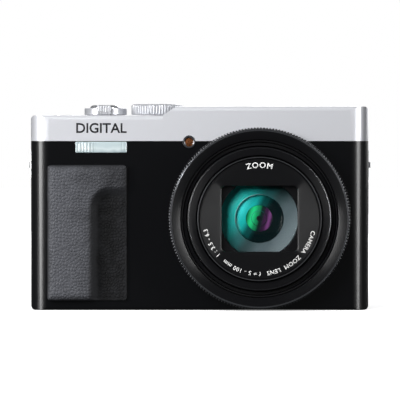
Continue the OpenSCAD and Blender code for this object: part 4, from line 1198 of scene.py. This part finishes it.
set_middle, set_half = middle_of("set_button")
set_top = set_middle[1] + set_half[1]
key_cap("set_key", "set_button", dial_place, 4.85, set_top, 5.6, set_top - 5.4, 0.22, dial_satin)
set_mark = flat_mark("set_mark", "SET", 1.5, (dial_place[0], dial_place[2]), 0.0, set_top - 0.20,
                     white_ink, "back")
place_on(set_mark, "set_button", "dark_key")
for node, points in (("play_button", [(-0.7, -0.85), (-0.7, 0.85), (0.85, 0.0)]),
                     ("delete_button", [(-0.7, -0.9), (-0.85, 0.55), (0.85, 0.55), (0.7, -0.9)])):
    key_middle, key_half = middle_of(node)
    key_top = key_middle[1] + key_half[1]
    at = (key_middle[0], 0, key_middle[2])
    key_cap(node + "_cap", node, at, 2.4, key_top, 3.0, key_top - 3.1, 0.12, dial_satin)
    outline = np.array([(at[0] - u, key_top - 0.10, at[2] + v) for u, v in points])
    mark = make_piece(node + "_mark", outline, [list(range(len(points)))[::-1]], white_ink, ink=True)
    place_on(mark, node, "dark_key")

# ---- Base fittings ----
# The tripod bush is a threaded steel nut; the battery door is a moulded flap on a pin, locked by a
# small ridged slider.

bush_steel = turned_black("bush_steel", (0.50, 0.50, 0.52), 0.30, 3000, 0.95)
bush_bore, bush_out, thread_pitch = 2.6, 4.0, 1.27


def thread(profile, angle):
    """A screw thread: on the bore's points the radius grows by a triangle wave of the height less
    the angle's share of a turn, so that the groove climbs one pitch with each turn."""
    in_bore = np.isclose(profile[:, 0], bush_bore) & (profile[:, 1] < -0.3) & (profile[:, 1] > -4.8)
    phase = (profile[:, 1, None] / thread_pitch - angle[None, :] / (2 * np.pi)) % 1
    return in_bore[:, None] * 0.55 * (1 - np.abs(2 * phase - 1))


bore_heights = np.linspace(-4.98, -0.25, 64)
bush = turned("threaded_tripod_bush", np.concatenate([
    [(0.0, -5.9), (bush_out, -5.9), (bush_out, -2.45), (5.2, -2.4), (5.2, -1.25), (bush_out, -1.2),
     (bush_out, -0.15), (bush_out - 0.15, 0.0), (bush_bore + 0.45, 0.0)],
    np.stack([np.full(64, bush_bore), bore_heights[::-1]], axis=1), [(0.0, -5.0)]]), bush_steel, 96, thread,
    closed=False, smooth=50, centre=(0, 0, 0), way="down")
place_on(bush, "body", "steel", "tripod_bush")

for node, piece_name, material, width in (("battery_door", "battery_flap", black_paint, 0.15),
                                          ("door_lock", "door_slider", key_plastic, 0.12)):
    flap = from_cad(node, piece_name, material, width * mm)
    place_on(flap, node, "black_paint" if node == "battery_door" else "dark_key", node)
lock_low, lock_high = box_mm("door_lock")
ridge_x = np.linspace(lock_low[0] + 2.4, lock_high[0] - 2.4, 5)
lock_ridges = rib_rows("door_slider_ridges", [(x, lock_low[1] + 0.7, lock_low[2] + 0.05) for x in ridge_x],
                       [(x, lock_high[1] - 0.7, lock_low[2] + 0.05) for x in ridge_x], 0.14, key_plastic)
place_on(lock_ridges, "door_lock", "dark_key")

# ---- Inside the body ----
# What shows through openings and when the doors, screen and blades move: moulded and steel parts,
# nylon gears, the printed board, the battery and card, and the moving lens groups.

brushed_steel = grain_paint("brushed_steel", (0.42, 0.42, 0.44), 0.30, 0.95, 0.12, 0.4, 3000)
dark_moulding = grain_paint("dark_moulding", (0.010, 0.010, 0.011), 0.5, 0.0, 0.2, 0.5, 4500)
blade_black = grain_paint("blade_black", (0.012, 0.012, 0.013), 0.38, 0.4, 0.15, 0.3, 5200)
gear_nylon = grain_paint("gear_nylon", (0.62, 0.58, 0.46), 0.42, 0.0, 0.06, 0.3, 2600)
cell_shell = grain_paint("cell_shell", (0.030, 0.032, 0.038), 0.48, 0.0, 0.15, 0.5, 3600)
sleeve_black = grain_paint("sleeve_black", (0.012, 0.013, 0.018), 0.22, 0.0, 0.15, 0.2, 1800)
trough_mirror = grain_paint("trough_mirror", (0.78, 0.79, 0.80), 0.12, 1.0, 0.03, 0.2, 900)
rear_glass = tinted_glass("rear_group_glass", (0.010, 0.060, 0.075), (0.050, 0.012, 0.070), 0.08, 120)
sensor_cover = tinted_glass("sensor_cover", (0.016, 0.010, 0.045), (0.010, 0.050, 0.030), 0.10, 260)
display_dark = tinted_glass("display_dark", (0.004, 0.004, 0.005), (0.010, 0.011, 0.014), 0.12, 200)

board_mask, nodes, links, shader = new_material("board_mask")
place = nodes.new("ShaderNodeTexCoord")
tracks = nodes.new("ShaderNodeTexBrick")
tracks.inputs["Scale"].default_value = 260
tracks.inputs["Mortar Size"].default_value = 0.035
tracks.inputs["Color1"].default_value = (0.006, 0.060, 0.028, 1)
tracks.inputs["Color2"].default_value = (0.010, 0.085, 0.040, 1)
tracks.inputs["Mortar"].default_value = (0.16, 0.17, 0.07, 1)
turned_place = nodes.new("ShaderNodeMapping")
turned_place.inputs["Rotation"].default_value = (math.radians(90), 0, 0)
links.new(place.outputs["Object"], turned_place.inputs["Vector"])
links.new(turned_place.outputs["Vector"], tracks.inputs["Vector"])
links.new(tracks.outputs["Color"], shader.inputs["Base Color"])
shader.inputs["Roughness"].default_value = 0.35

for nodes_of_kind, material in (
        (("connector_sockets", "hinge_pins", "zoom_motor", "screen_brackets", "screen_hinge_plate"),
         brushed_steel),
        (("battery_holder", "lens_base", "cam_ring", "zoom_lens_cell", "focus_lens_cell"), dark_moulding),
        (("blade_upper_inner", "blade_upper_outer", "blade_lower_inner", "blade_lower_outer"), blade_black),
        (("idler_gear", "motor_pinion"), gear_nylon), (("battery", "memory_card"), cell_shell),
        (("flash_capacitor",), sleeve_black), (("flash_unit",), trough_mirror), (("zoom_lens",), rear_glass),
        (("image_sensor",), sensor_cover), (("finder_display", "screen_panel"), display_dark),
        (("main_board",), board_mask)):
    for node in nodes_of_kind:
        for material_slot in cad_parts[node].material_slots:
            material_slot.material = material
